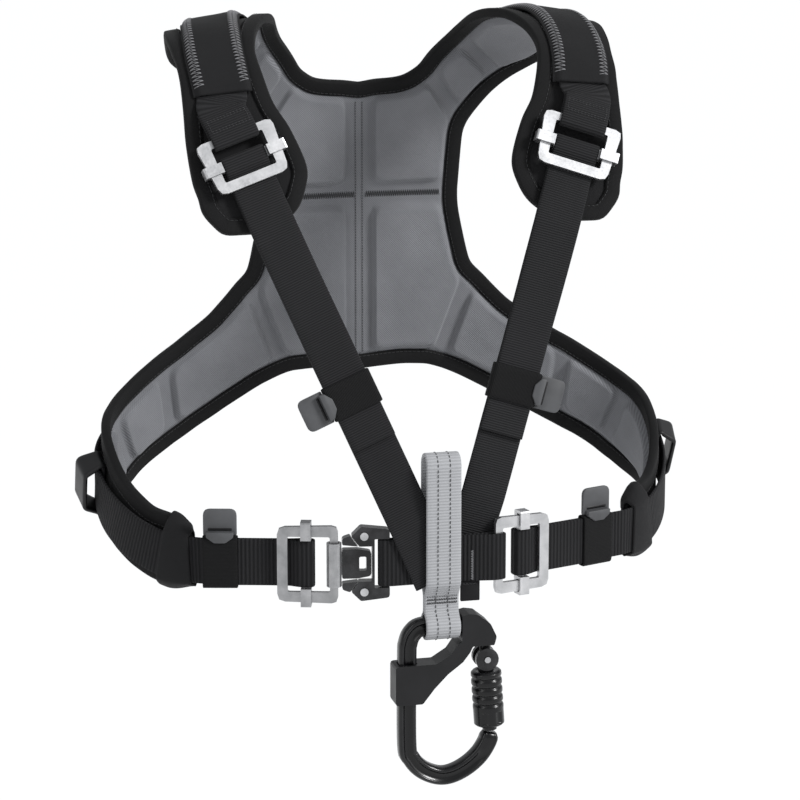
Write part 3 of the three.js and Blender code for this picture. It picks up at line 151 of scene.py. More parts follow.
def run_lengths(line):
    """Length along a line up to each of its points."""
    return np.concatenate([[0], np.cumsum(np.linalg.norm(np.diff(line, axis=0), axis=1))])


def rows_at(want, s, rows):
    """Rows interpolated at the values `want` of s."""
    return np.stack([np.interp(want, s, column) for column in np.asarray(rows).T], axis=1)


def uv_grid(along, across):
    """UV in metres from lengths along a band and across it."""
    return np.stack(np.broadcast_arrays(along[:, None], across[None]), -1) * MM


def span(a, b, c, d, count):
    """Points of a Catmull-Rom curve from b up to c."""
    t = np.linspace(0, 1, count, endpoint=False)[:, None]
    return 0.5 * (2 * b + (c - a) * t + (2 * a - 5 * b + 4 * c - d) * t ** 2
                  + (3 * b - a - 3 * c + d) * t ** 3)


def smooth_line(points, step):
    """Catmull-Rom through the points, resampled at about `step`."""
    p = np.asarray(points, float)
    p = np.vstack([2 * p[0] - p[1], p, 2 * p[-1] - p[-2]])
    spans = [span(*p[i:i + 4], 12) for i in range(len(p) - 3)]
    return resample(np.vstack(spans + [p[-2][None]]), step)


def resample(dense, step):
    s = run_lengths(dense[:, :3])
    count = max(2, int(round(s[-1] / step)) + 1)
    return rows_at(np.linspace(0, s[-1], count), s, dense)


def smoothstep(x, low, high):
    t = np.clip((x - low) / (high - low), 0, 1)
    return t * t * (3 - 2 * t)


def plateau(x, start, full, fading, end):
    """Rises from 0 to 1 between start and full, and falls back between fading and end."""
    return smoothstep(x, start, full) * (1 - smoothstep(x, fading, end))


# Worn form of the pattern: u runs round the chest, v up the back and over the shoulder (as in the CAD)
CHEST_HALF_WIDTH, BACK_DEPTH, FRONT_DEPTH, BACK_ROUNDNESS = 183, 72, 121.5, 2.3
BACK_RISE, FRONT_BEND, FRONT_LEAN = 175.5, 54, math.radians(22)
BLEND_START, BLEND_LENGTH = 27, 81
OUTER_FALL, FALL_FROM, FALL_RANGE = 0.16, 80, (185, 240, 320, 372)
SHOULDER_SPREAD, SHOULDER_RUN, WING_REACH, PANEL_HEIGHT = 140, 450, 305, 200
NECK_HEIGHT, ARCH_HEIGHT, WAIST_HEIGHT, WAIST_HALF = 195, 4, 122, 66
EDGE_FOOT, BACK_FOOT, WAIST_FOOT, GROOVE_FOOT, RAMP_WIDTH = 9, 8.8, 7.2, 4.4, 2.6
SHELL_OUT, CUSHION_IN, CHANNEL_IN, EDGE_IN, TAPE = 2, 6.6, 2.4, 1, 1


def ring_table():
    """Lengths round half the chest with their x and y, from the middle of the back."""
    angle = np.linspace(0, math.pi, 1201)
    behind = angle < math.pi / 2
    power = np.where(behind, 2 / BACK_ROUNDNESS, 1.0)
    cosine = np.cos(angle)
    x = CHEST_HALF_WIDTH * np.abs(np.sin(angle)) ** power
    y = np.where(behind, BACK_DEPTH, FRONT_DEPTH) * np.sign(cosine) * np.abs(cosine) ** power
    return run_lengths(np.stack([x, y], axis=1)), x, y


RING_S, RING_X, RING_Y = ring_table()


def worn(u, v):
    """Where a place on the pattern lies when worn: on the ring low down, rolled over the shoulder above."""
    u, v = np.broadcast_arrays(np.asarray(u, float), np.asarray(v, float))
    s = np.minimum(np.abs(u), RING_S[-1])
    ring_x = np.sign(u) * np.interp(s, RING_S, RING_X)
    ring_y = np.interp(s, RING_S, RING_Y)
    rest = v - BACK_RISE
    arc = BACK_DEPTH * math.pi / 2
    a = np.clip(rest / BACK_DEPTH, 0, math.pi / 2)
    front = np.maximum(rest - arc, 0)
    sweep = math.pi / 2 - FRONT_LEAN
    b = np.minimum(front / FRONT_BEND, sweep)
    tail = front - b * FRONT_BEND
    behind = rest <= arc
    y = np.where(behind, BACK_DEPTH * np.cos(a), -FRONT_BEND * np.sin(b) - tail * math.sin(FRONT_LEAN))
    z = np.where(behind, -BACK_DEPTH + BACK_DEPTH * np.sin(a) + np.minimum(rest, 0),
                 -FRONT_BEND + FRONT_BEND * np.cos(b) - tail * math.cos(FRONT_LEAN))
    z = z - OUTER_FALL * np.maximum(np.abs(u) - FALL_FROM, 0) * plateau(v, *FALL_RANGE)
    w = smoothstep(v, BACK_RISE - BLEND_START, BACK_RISE - BLEND_START + BLEND_LENGTH)
    return np.stack([ring_x * (1 - w) + u * w, y + (ring_y - BACK_DEPTH) * (1 - w), z], axis=-1)


def outward(u, v):
    h = 0.5
    return unit(np.cross(worn(u, v + h) - worn(u, v - h), worn(u + h, v) - worn(u - h, v)))


def lifted(u, v, lift):
    """A place at a height off the pad's middle surface, positive outwards."""
    return worn(u, v) + outward(u, v) * np.asarray(lift, float)[..., None]


# Pad sections as shares of the sizes above: near u and v, far u and v
SHOULDER_ROWS = np.array([
    (0.293, 0.458, 0.493, 0.351), (0.315, 0.468, 0.507, 0.369), (0.334, 0.479, 0.529, 0.382),
    (0.371, 0.498, 0.6, 0.409), (0.414, 0.52, 0.664, 0.43), (0.429, 0.531, 0.7, 0.44),
    (0.443, 0.542, 0.736, 0.449), (0.464, 0.564, 0.814, 0.469), (0.486, 0.589, 0.886, 0.493),
    (0.521, 0.618, 0.936, 0.533), (0.614, 0.676, 0.996, 0.644), (0.65, 0.707, 1, 0.696),
    (0.664, 0.744, 0.989, 0.74), (0.614, 0.813, 0.986, 0.824), (0.55, 0.849, 0.986, 0.869),
    (0.486, 0.904, 0.971, 0.922), (0.499, 0.932, 0.949, 0.945), (0.543, 0.962, 0.939, 0.964),
    (0.664, 0.991, 0.864, 0.992)])
WING_ROWS = np.array([
    (0.152, 0.028, 0.22, 0.54), (0.164, 0.024, 0.243, 0.38), (0.175, 0.018, 0.257, 0.345),
    (0.189, 0.012, 0.274, 0.32), (0.23, -0.015, 0.308, 0.265), (0.289, -0.062, 0.344, 0.215),
    (0.384, -0.138, 0.42, 0.14), (0.426, -0.172, 0.452, 0.112), (0.443, -0.185, 0.467, 0.1),
    (0.459, -0.198, 0.482, 0.088), (0.492, -0.222, 0.525, 0.05), (0.538, -0.262, 0.613, -0.025),
    (0.554, -0.28, 0.63, -0.035), (0.57, -0.295, 0.646, -0.048), (0.623, -0.338, 0.695, -0.09),
    (0.679, -0.368, 0.748, -0.14), (0.738, -0.398, 0.8, -0.195), (0.849, -0.458, 0.885, -0.262),
    (0.902, -0.482, 0.925, -0.275), (0.955, -0.488, 0.964, -0.285), (0.992, -0.463, 0.992, -0.305)])
ARM = {True: (SHOULDER_ROWS, (SHOULDER_SPREAD, SHOULDER_RUN), (1, 5)),
       False: (WING_ROWS, (WING_REACH, PANEL_HEIGHT), (2, 8, 12))}
PANEL = {True: ((0.46, 0.394, 0.016), (0.856, 0.5, 0.026), (1, 0.561, 0.041)),
         False: ((0.46, 0.455, 0.011), (0.856, 0.61, 0.009), (1, 0.682, 0.008))}
PAD_STEP, GROOVE_STEP, PAD_COLUMNS = 2.1, 0.85, 46
CHANNEL_ROWS = (0, 7.6, 8.2, 8.8, 9.4, 10, 10.6, 11.2, 11.8)


def spline_rows(points, per_span, start=0):
    """Catmull-Rom with a fixed count in each span; spans before `start` stay straight."""
    p = np.vstack([2 * points[0] - points[1], points, 2 * points[-1] - points[-2]])
    out = []
    for i, count in enumerate(per_span):
        b, c = points[i], points[i + 1]
        before = p[i] if i > start else 2 * b - c
        after = p[i + 3] if i >= start else 2 * c - b
        out.append(span(before, b, c, after, count))
    return np.vstack(out + [points[-1][None]])


def arm_grid(up):
    """Near and far edge of one arm from the middle of the back to its tip, as fine rows, with the row where
    the back panel ends and the ends of each sewn groove."""
    rows, sizes, sewn = ARM[up]
    edge, rise = (NECK_HEIGHT, 0.01) if up else (ARCH_HEIGHT, 0.005)
    near = [(u, edge + rise * PANEL_HEIGHT * u / 11.5) for u in CHANNEL_ROWS]
    near += [(WAIST_HALF * u, edge + PANEL_HEIGHT * lift) for _, u, lift in PANEL[up]]
    far = [(u, WAIST_HEIGHT) for u in CHANNEL_ROWS]
    far += [(WAIST_HALF * waist, WAIST_HEIGHT) for waist, _, _ in PANEL[up]]
    corner = len(near) - 1
    near, far = np.vstack([near, rows[:, :2] * sizes]), np.vstack([far, rows[:, 2:] * sizes])
    sewn = [corner + 1 + i for i in sewn]
    spans = np.maximum(*(np.linalg.norm(np.diff(line, axis=0), axis=1) for line in (near, far)))
    steps = [GROOVE_STEP if i in sewn or i + 1 in sewn else PAD_STEP for i in range(len(spans))]
    per_span = np.ceil(spans / steps).astype(int)
    return (spline_rows(near, per_span), spline_rows(far, per_span, corner), sum(per_span[:corner]),
            [(near[i], far[i]) for i in sewn])


def smooth_least(a, b, reach=6.0):
    """The lesser of two distances, with the corner between them rounded."""
    mixed = np.maximum(reach - np.abs(a - b), 0) / reach
    return np.minimum(a, b) - mixed ** 2 * reach / 4


def edge_distance(p):
    """Distance on the pattern from each point to the pad's edge."""
    ring = pad_outline(1.2)
    ring = ring[ring[:, 0] > -25]
    return np.array([np.linalg.norm(row[:, None] - ring, axis=2).min(axis=1) for row in p])


def wall_inside(p, d_edge, grooves):
    """Thickness of the cushions on the inner side, between their sewn channels."""
    d = smooth_least(d_edge - EDGE_FOOT, np.abs(p[..., 0]) - BACK_FOOT)
    d = smooth_least(d, np.abs(p[..., 1] - WAIST_HEIGHT) - WAIST_FOOT)
    for a, b in grooves:
        direction = unit(np.asarray(b) - np.asarray(a))
        away = np.abs((p[..., 0] - a[0]) * direction[1] - (p[..., 1] - a[1]) * direction[0])
        d = smooth_least(d, away - GROOVE_FOOT)
    low = EDGE_IN + (CHANNEL_IN - EDGE_IN) * smoothstep(d_edge, EDGE_FOOT - 0.7, EDGE_FOOT + 1.5)
    crest = CUSHION_IN + 1.1 * smoothstep(d, 4, 26)
    return low + (crest - low) * smoothstep(d, 0, RAMP_WIDTH)


# Materials
class Graph:
    """A material, with short calls for its nodes."""

    def __init__(self, name, color, roughness, metallic=0.0, sheen=0.0, coat=0.0, specular=0.5):
        self.material = bpy.data.materials.new(name)
        self.material.use_nodes = True
        self.material.diffuse_color = (*color, 1)
        self.tree = self.material.node_tree
        self.shader = self.tree.nodes["Principled BSDF"]
        for key, value in (("Base Color", color), ("Roughness", roughness), ("Metallic", metallic),
                           ("Sheen Weight", sheen), ("Sheen Roughness", 0.4), ("Coat Weight", coat),
                           ("Specular IOR Level", specular)):
            self.put(self.shader.inputs[key], value)
        coords = self.tree.nodes.new("ShaderNodeTexCoord").outputs
        self.uv, self.place = coords["UV"], coords["Object"]

    def put(self, socket, value):
        if isinstance(value, bpy.types.NodeSocket):
            self.tree.links.new(value, socket)
        else:
            socket.default_value = (*value, 1) if isinstance(value, tuple) else value

    def node(self, kind, **inputs):
        made = self.tree.nodes.new(kind)
        for key, value in inputs.items():
            self.put(made.inputs[key.replace("_", " ")], value)
        return made

    def math(self, operation, *values):
        made = self.node("ShaderNodeMath")
        made.operation = operation
        for socket, value in zip(made.inputs, values):
            self.put(socket, value)
        return made.outputs[0]

    def total(self, *weighted):
        """Sum of the sockets, each times its weight."""
        parts = [self.math("MULTIPLY", socket, weight) for socket, weight in weighted]
        result = parts[0]
        for part in parts[1:]:
            result = self.math("ADD", result, part)
        return result

    def wave(self, phase):
        """Sine of the phase, from 0 to 1."""
        return self.math("MULTIPLY_ADD", self.math("SINE", phase), 0.5, 0.5)

    def noise(self, coords, scale, detail=3.0, rough=0.6):
        return self.node("ShaderNodeTexNoise", Vector=coords, Scale=scale, Detail=detail,
                         Roughness=rough).outputs["Fac"]

    def split_uv(self):
        return self.node("ShaderNodeSeparateXYZ", Vector=self.uv).outputs[:2]

    def ramp(self, value, low, high, start, end):
        """Maps value from start..end to low..high."""
        return self.node("ShaderNodeMapRange", Value=value, From_Min=start, From_Max=end,
                         To_Min=low, To_Max=high).outputs[0]

    def mix(self, factor, a, b):
        made = self.node("ShaderNodeMix")
        made.data_type = "RGBA"
        for index, value in ((0, factor), (6, a), (7, b)):
            self.put(made.inputs[index], value)
        return made.outputs[2]

    def bump(self, height, distance, strength, **normal):
        return self.node("ShaderNodeBump", Height=height, Distance=distance * MM, Strength=strength,
                         **normal).outputs["Normal"]

    def use(self, **inputs):
        for key, value in inputs.items():
            self.put(self.shader.inputs[key.replace("_", " ")], value)
        return self.material


def ribbed_web(name, dark, light, pitch=1.5, rib_depth=0.35, sheen=0.03):
    """Webbing: ribs across the strap, fine warp threads along it. UV x runs along, y across, in metres."""
    g = Graph(name, light, 0.78, sheen=sheen, specular=0.22)
    along, across = g.split_uv()
    rib = g.wave(g.total((along, FULL_TURN / (pitch * MM)), (g.noise(g.uv, 260, 2), 1.1)))
    thread = g.wave(g.total((across, FULL_TURN / (0.62 * MM))))
    fibre = g.noise(g.uv, 2200, 3, 0.7)
    height = g.total((rib, 1), (thread, 0.25), (fibre, 0.25))
    tone = g.total((rib, 0.55), (fibre, 0.35), (g.noise(g.place, 28, 3), 0.25))
    return g.use(Base_Color=g.mix(g.ramp(tone, 0, 1, 0.15, 0.95), dark, light),
                 Roughness=g.ramp(fibre, 0.68, 0.9, 0.3, 0.7), Normal=g.bump(height, rib_depth, 0.9))


def mesh_cloth(name, dark, light, pitch, depth, sheen, weave_tone=0.14):
    """Fine diagonal knit for the pad's lining and shell; UV in metres on the flat pattern."""
    g = Graph(name, light, 0.85, sheen=sheen, specular=0.25)
    along, across = g.split_uv()
    wobble = (g.noise(g.uv, 330, 2), 1.6)
    turns = FULL_TURN / (pitch * MM)
    one = g.math("SINE", g.total((g.math("ADD", along, across), turns), wobble))
    two = g.math("SINE", g.total((g.math("SUBTRACT", along, across), turns * 1.7), wobble))
    weave = g.total((one, 0.5), (two, 0.3))
    fibre = g.noise(g.uv, 2600, 3, 0.7)
    tone = g.total((fibre, 0.5), (weave, weave_tone), (g.noise(g.place, 16, 4), 0.5))
    fine = g.bump(g.total((weave, 1), (fibre, 0.8)), depth, 0.8)
    crease = g.noise(g.place, 70, 3, 0.55)
    return g.use(Base_Color=g.mix(g.ramp(tone, 0, 1, 0.25, 0.75), dark, light),
                 Roughness=g.ramp(fibre, 0.75, 0.95, 0.3, 0.7), Normal=g.bump(crease, 1.1, 0.35, Normal=fine))


def worn_metal(name, base, scuffed, roughness, **shader):
    """Metal with faint tool grain, stains and brighter worn edges."""
    g = Graph(name, base, roughness, **shader)
    fine = g.noise(g.place, 900, 4, 0.65)
    stain = g.noise(g.place, 60, 5, 0.6)
    edge = g.node("ShaderNodeNewGeometry").outputs["Pointiness"]
    wear = g.math("MULTIPLY", g.ramp(edge, 0, 1, 0.52, 0.6), g.ramp(stain, 0.1, 1, 0.35, 0.65))
    tone = g.mix(g.ramp(stain, 0, 0.5, 0.35, 0.75), base, tuple(0.8 * c for c in base))
    rough = g.total((g.ramp(fine, roughness * 0.8, roughness * 1.25, 0.3, 0.7), 1), (stain, 0.06))
    return g.use(Base_Color=g.mix(wear, tone, scuffed), Roughness=rough, Normal=g.bump(fine, 0.02, 0.5))


def moulded(name, base, light, roughness):
    """Moulded plastic with a fine spark-eroded grain."""
    g = Graph(name, base, roughness, specular=0.3)
    cloud = g.noise(g.place, 40, 4, 0.6)
    return g.use(Base_Color=g.mix(g.ramp(cloud, 0, 1, 0.3, 0.75), base, light),
                 Roughness=g.ramp(cloud, roughness * 0.85, roughness * 1.2, 0.3, 0.7),
                 Normal=g.bump(g.noise(g.place, 1500, 2, 0.5), 0.05, 0.6))


def thread_material(name, color):
    g = Graph(name, color, 0.7, sheen=0.2)
    twist = g.noise(g.place, 3000, 2)
    return g.use(Base_Color=g.mix(twist, tuple(0.55 * c for c in color), color),
                 Normal=g.bump(twist, 0.08, 0.7))


BLACK_WEB = ribbed_web("black_webbing", (0.0015, 0.0015, 0.002), (0.017, 0.017, 0.0185))
DARK_RIB_WEB = ribbed_web("heavy_rib_webbing", (0.001, 0.001, 0.0015), (0.014, 0.014, 0.0155), 2.6, 0.6, 0.02)
GREY_WEB = ribbed_web("grey_webbing", (0.26, 0.265, 0.275), (0.36, 0.365, 0.38), 1.9, 0.2, 0.15)
GREY_MESH = mesh_cloth("grey_lining", (0.105, 0.108, 0.117), (0.218, 0.222, 0.237), 1.5, 0.2, 0.12, 0.3)
BLACK_SHELL = mesh_cloth("black_shell", (0.003, 0.003, 0.0035), (0.011, 0.011, 0.012), 0.7, 0.1, 0.05)
TAPE_CLOTH = ribbed_web("binding_tape", (0.001, 0.001, 0.0012), (0.0045, 0.0045, 0.005), 0.8, 0.14)
SLEEVE_CLOTH = mesh_cloth("sleeve_cloth", (0.003, 0.003, 0.0035), (0.01, 0.01, 0.011), 0.6, 0.06, 0.03)
ELASTIC = ribbed_web("elastic", (0.0008, 0.0008, 0.001), (0.003, 0.003, 0.0035), 0.9, 0.2, 0.01)
STEEL = worn_metal("satin_steel", (0.4, 0.405, 0.415), (0.62, 0.62, 0.63), 0.36, metallic=1.0)
# The satin steel again, painted darker for the steel parts on the harness's left side: painted shade for the
# side turned away from the light
STEEL_LEFT_PAINTED_SHADE = worn_metal("steel_left_painted_shade", (0.25, 0.254, 0.26), (0.45, 0.45, 0.46), 0.38, metallic=1.0)
BLACK_METAL = worn_metal("black_anodised", (0.002, 0.002, 0.0025), (0.03, 0.03, 0.032), 0.22,
                         coat=0.12, specular=0.28)
BLACK_PLASTIC = moulded("black_plastic", (0.003, 0.003, 0.0036), (0.007, 0.007, 0.008), 0.42)
GREY_TAB = moulded("grey_rubber_tab", (0.05, 0.051, 0.054), (0.082, 0.084, 0.089), 0.55)
ZIGZAG = thread_material("grey_thread", (0.2, 0.2, 0.21))
DARK_THREAD = thread_material("dark_thread", (0.022, 0.022, 0.025))
STITCH_GREY = thread_material("seam_thread", (0.03, 0.031, 0.034))


# The pad: grey lining inside, black shell outside, one closed form
def make_pad():
    points, uvs, faces, slots = [], [], [], []
    share = 0.5 - 0.5 * np.cos(np.pi * (0.12 + 0.76 * np.linspace(0, 1, PAD_COLUMNS)))
    share = (share - share[0]) / (share[-1] - share[0])
    for side, up in ((1, True), (1, False), (-1, True), (-1, False)):
        near, far, corner, grooves = arm_grid(up)
        flat = near[:, None, :] + (far - near)[:, None, :] * share[None, :, None]
        d_edge = edge_distance(flat)
        shell = SHELL_OUT + 0.25 * smoothstep(d_edge, 8, 20)
        uv = flat * np.array([side, 1])
        layer = flat.shape[0] * PAD_COLUMNS
        at = (len(points) + np.arange(layer)).reshape(-1, PAD_COLUMNS).tolist()
        for lift in (shell, -wall_inside(flat, d_edge, grooves)):
            points.extend(lifted(uv[..., 0], uv[..., 1], lift).reshape(-1, 3))
            uvs.extend(uv.reshape(-1, 2) * MM)
        for a, b in zip(at, at[1:]):
            for quad in zip(a, a[1:], b[1:], b):
                faces += [quad, tuple(i + layer for i in reversed(quad))]
                slots += [1, 0]
        rim = [(a[0], b[0]) for a, b in zip(at, at[1:])]
        rim += [(a[-1], b[-1]) for a, b in zip(at[corner:], at[corner + 1:])]
        rim += list(zip(at[-1], at[-1][1:]))
        faces += [(a, b, b + layer, a + layer) for a, b in rim]
        slots += [1] * len(rim)
    pad = mesh_object("pad_shell", points, faces, [GREY_MESH, BLACK_SHELL], uvs, face_slots=slots)
    finish_piece(orient(pad, merge=0.12 * MM), "grey_cloth", "pad")


def pad_outline(step=2.2):
    """The whole edge of the pad as one closed round of (u, v)."""
    up_near, up_far, up_corner, _ = arm_grid(True)
    low_near, low_far, low_corner, _ = arm_grid(False)
    right = np.vstack([up_near, up_far[up_corner:][::-1], low_far[low_corner + 1:], low_near[::-1]])
    right = right[np.concatenate([[True], np.linalg.norm(np.diff(right, axis=0), axis=1) > 0.05])]
    left = right[1:-1][::-1] * np.array([-1, 1])
    fine = resample(np.vstack([right, left, right[:1]]), step)[:-1]
    for _ in range(3):
        fine = (np.roll(fine, 1, 0) + 2 * fine + np.roll(fine, -1, 0)) / 4
    return fine


def outline_normals(ring):
    ahead = np.roll(ring, -1, 0)
    tangent = unit(ahead - np.roll(ring, 1, 0))
    area = np.sum(ring[:, 0] * ahead[:, 1] - ahead[:, 0] * ring[:, 1])
    return np.stack([tangent[:, 1], -tangent[:, 0]], axis=1) * (1 if area > 0 else -1)


BINDING_REACH = 8.2


def make_binding():
    ring = pad_outline()
    out = outline_normals(ring)
    top, bottom = SHELL_OUT + 0.55, -EDGE_IN - 0.55
    middle, half = (top + bottom) / 2, (top - bottom) / 2
    profile = [(-BINDING_REACH, top + 0.3), (1.2 - BINDING_REACH, top + 0.85), (-4, top + 1.0)]
    profile += [(0.6 + 1.6 * math.cos(a), middle + (half + TAPE) * math.sin(a))
                for a in np.linspace(math.pi / 2, -math.pi / 2, 9)]
    profile += [(-4, bottom - 1.0), (1.2 - BINDING_REACH, bottom - 0.85), (-BINDING_REACH, bottom - 0.3)]
    profile += [(0.8 - BINDING_REACH, bottom), (-3, bottom), (0.5, bottom)]
    profile += [(0.5, top), (-3, top), (0.8 - BINDING_REACH, top)]
    profile = np.array(profile)
    length = run_lengths(ring)
    puff = 0.18 * np.sin(length / 5.3) * np.sin(length / 13.7 + 1)
    rings = []
    for offset, lift in profile:
        flat = ring + out * (offset + puff * (lift > top or lift < bottom))[:, None]
        rings.append(lifted(flat[:, 0], flat[:, 1], lift))
    band = tube_mesh("binding_tape", np.stack(rings, axis=1), TAPE_CLOTH, closed=True,
                     uvs=uv_grid(length, run_lengths(profile)))
    finish_piece(band, "black_cloth", "pad_binding")
    stitched = []
    for lift, way in ((top + 1.0, 1), (bottom - 1.0, -1)):
        u, v = (ring - out * (BINDING_REACH - 1.6)).T
        line = lifted(u, v, lift)
        stitched += dashes(np.vstack([line, line[:1]]), 2.0, 0.9, outward(u, v) * way)
    sew("binding_stitches", stitched, 0.17, STITCH_GREY, "black_cloth")


# Stitches as small arched threads, each from a start to an end with a normal
THREAD_ARCH = ((0, -0.9, 0.75), (0.2, 0.675, 1), (0.5, 1.2, 1.05), (0.8, 0.675, 1), (1, -0.9, 0.75))
THREAD_SIDES = 5


def dashes(line, length, gap, normals):
    """Stitches along a line of points, `length` long with `gap` between them."""
    s = run_lengths(line)
    starts = np.arange(0, s[-1] - length, length + gap)
    rows = np.clip(np.searchsorted(s, starts), 0, len(normals) - 1)
    return list(zip(rows_at(starts, s, line), rows_at(starts + length, s, line), normals[rows]))


def sew(name, stitches, radius, material, slot):
    """One mesh of all the stitches; `t`, `up` and `r` run along, off and round each thread."""
    points, faces = [], []
    turn = np.arange(THREAD_SIDES) * FULL_TURN / THREAD_SIDES
    for a, b, n in stitches:
        side = unit(np.cross(b - a, n))
        ring = (side * np.cos(turn)[:, None] + n * np.sin(turn)[:, None]) * radius
        base = len(points)
        for t, up, r in THREAD_ARCH:
            points.extend(a + (b - a) * t + n * radius * up + ring * r)
        for i in range(base, base + THREAD_SIDES * (len(THREAD_ARCH) - 1), THREAD_SIDES):
            for k in range(THREAD_SIDES):
                m = (k + 1) % THREAD_SIDES
                faces.append((i + k, i + m, i + THREAD_SIDES + m, i + THREAD_SIDES + k))
        faces.append(tuple(range(base + THREAD_SIDES - 1, base - 1, -1)))
        faces.append(tuple(range(len(points) - THREAD_SIDES, len(points))))
    finish_piece(orient(mesh_object(name, points, faces, [material])), slot)


def make_pad_seams():
    """Double row down the back's channel and a zigzag across the waist."""
    inner = -(CHANNEL_IN + 0.12)
    rows = []
    for u in (-2.3, 2.3):
        v = np.arange(14, 186, 1.5)
        across = np.full_like(v, u)
        rows += dashes(lifted(across, v, inner + 0 * v), 1.2, 0.7, -outward(across, v))
    sew("back_seam", rows, 0.3, DARK_THREAD, "grey_cloth")
    u = np.arange(-57, 57, 1.5)
    v = np.full_like(u, WAIST_HEIGHT - 2.2)
    low, high = lifted(u, v, inner + 0 * u), lifted(u + 0.75, v + 4.4, inner + 0 * u)
    zigzag = []
    for i in range(len(u) - 1):
        if abs(u[i]) > 3.4:
            n = -outward(u[i], v[i])
            zigzag += [(low[i], high[i], n), (high[i], low[i + 1], n)]
    sew("waist_zigzag", zigzag, 0.22, DARK_THREAD, "grey_cloth")


# Straps as ribbons: a middle line with the direction across the strap at each point
def strap_section(width, thick):
    """Offsets across the strap and heights above its middle, round a section with woven edges."""
    half, r = width / 2, thick / 2
    upper = [(x, r) for x in np.linspace(half - r, r - half, 9)]
    upper += [(r - half - r * math.sin(a), r * math.cos(a)) for a in np.radians((40, 90, 140))]
    return np.array(upper + [(-o, -h) for o, h in upper])


def ribbon(points, acrosses, step=1.4, closed=False, rounds=14):
    """Rounds the corners of a path and returns its points, across directions and normals."""
    data = np.hstack([np.asarray(points, float), np.asarray(acrosses, float)])
    if closed:
        data = np.vstack([data, data[:1]])
    data = resample(data, 0.45)
    for _ in range(rounds):
        if closed:
            ring = data[:-1]
            ring = (np.roll(ring, 1, 0) + 2 * ring + np.roll(ring, -1, 0)) / 4
            data = np.vstack([ring, ring[:1]])
        else:
            data[1:-1] = (data[:-2] + 2 * data[1:-1] + data[2:]) / 4
    data = resample(data, step)
    line, across = data[:, :3], data[:, 3:]
    tangent = np.gradient(line, axis=0)
    if closed:
        tangent[0] = tangent[-1] = line[1] - line[-2]
        line, across, tangent = line[:-1], across[:-1], tangent[:-1]
    tangent = unit(tangent)
    across = unit(across - tangent * np.sum(across * tangent, axis=1, keepdims=True))
    return line, across, np.cross(across, tangent)


def ribbon_rings(line, across, normal, section, ripple=0.0):
    s = np.arange(len(line))[:, None]
    offset, height = section.T
    wave = ripple * np.sin(s * 0.21 + 0.04 * offset) * np.sin(s * 0.057 + 0.7)
    return line[:, None] + across[:, None] * offset[:, None] + normal[:, None] * (height + wave)[..., None]


def strap_piece(name, rings, section, material, slot, *replaces, closed=False):
    length = run_lengths(rings.mean(axis=1))
    strap = tube_mesh(name, rings, material, closed=closed, uvs=uv_grid(length, section[:, 0]))
    finish_piece(strap, slot, *replaces)


class PatternRoute:
    """A route on the pad's pattern, given as shares of two sizes; offsets lie across it and lifts stand
    off the pad's middle surface."""

    def __init__(self, shares, sizes, steps, sign):
        line = smooth_line(np.array(shares) * sizes, 0.5)
        s = run_lengths(line)
        self.points = rows_at(np.linspace(0, s[-1], steps), s, line)
        tangents = unit(np.gradient(self.points, axis=0))
        self.u, self.v = sign * self.points[:, 0], self.points[:, 1]
        self.side_u, self.side_v = -tangents[:, 1], sign * tangents[:, 0]

    def place(self, offset, lift, rows=slice(None)):
        u = self.u[rows, None] + self.side_u[rows, None] * offset
        v = self.v[rows, None] + self.side_v[rows, None] * offset
        return lifted(u, v, np.broadcast_to(lift, u.shape))

    def normals(self, offset, rows=slice(None)):
        return outward(self.u[rows] + self.side_u[rows] * offset, self.v[rows] + self.side_v[rows] * offset)


# The same frames, places and routes as the CAD part
WEB_WIDTH, WEB, PLY, SEAT, GAP = 30, 2, 2.4, 0.75, 0.35
CHEST_LIFT, WEB_LIFT, FRAME_LIFT = 7.4, 5.1, 10.2
CHEST_HEIGHT, CROSSING_Y = -327, -121.5
CHEST_FRAME, SHOULDER_FRAME = 38, 34
FIXED_BAR, OUTER_BAR, FRAME_THICK = 5, 6.5, 3
ROLL_X, ROLL_DROP, ROLL_HX, ROLL_HZ = 1, 3, 4.55, 3.5
PLY_NEAR, PLY_FAR = -2.8, -5.2
V_WIDTH, V_CLEAR, V_TAIL_Z, V_KEEPER_Z = 29, 52, -251, -221
V_FOOT = {"left": ((-12, CROSSING_Y - 1.5 * PLY, -303), 40),
          "right": ((35.8, CROSSING_Y + 1.5 * PLY + 2 * GAP, -288), 52)}
WEB_ROUTE = [(0.2, 0.19), (0.2, 0.25), (0.22, 0.3), (0.27, 0.35), (0.35, 0.4), (0.44, 0.44),
             (0.54, 0.48), (0.64, 0.523), (0.72, 0.57), (0.78, 0.62), (0.815, 0.67), (0.832, 0.72),
             (0.832, 0.76), (0.822, 0.8)]
CHEST_ROUTE = [(0, 0.22), (0.1, 0.21), (0.2, 0.16), (0.3, 0.08), (0.4, -0.01), (0.5, -0.1), (0.6, -0.18),
               (0.7, -0.255), (0.8, -0.325), (0.88, -0.37), (0.96, -0.3975), (1.03, -0.3975)]
CHEST_KEEPER_U = {"left": 322, "right": 336}
CHEST_TAIL, SIDE_LOOP_SHARE, QUICK_BAR_X = 12, 15 / 22, -14.5
SLEEVE_SHARE = 12 / 27
SLEEVE_WIDTH, SLEEVE_WALL = 37, 1.2
HOOD_FROM, HOOD_TO, HOOD_COLUMNS = 0.936, 1.004, 70
LOOP_X, LOOP_WIDTH, LOOP_WEB, LOOP_TOP, LOOP_HALF = 7.3, 22.5, 2.2, -258, 5.7
LOOP_SEAM_END_Z, LOOP_TACK_Z = -275, (-351.0, -353.2, -355.4)
TACK_TOP, PIVOT_Z, LOOP_EYE = -349.5, -370, 6.7
FACING_FRONT = np.array([0, -1.0, 0])


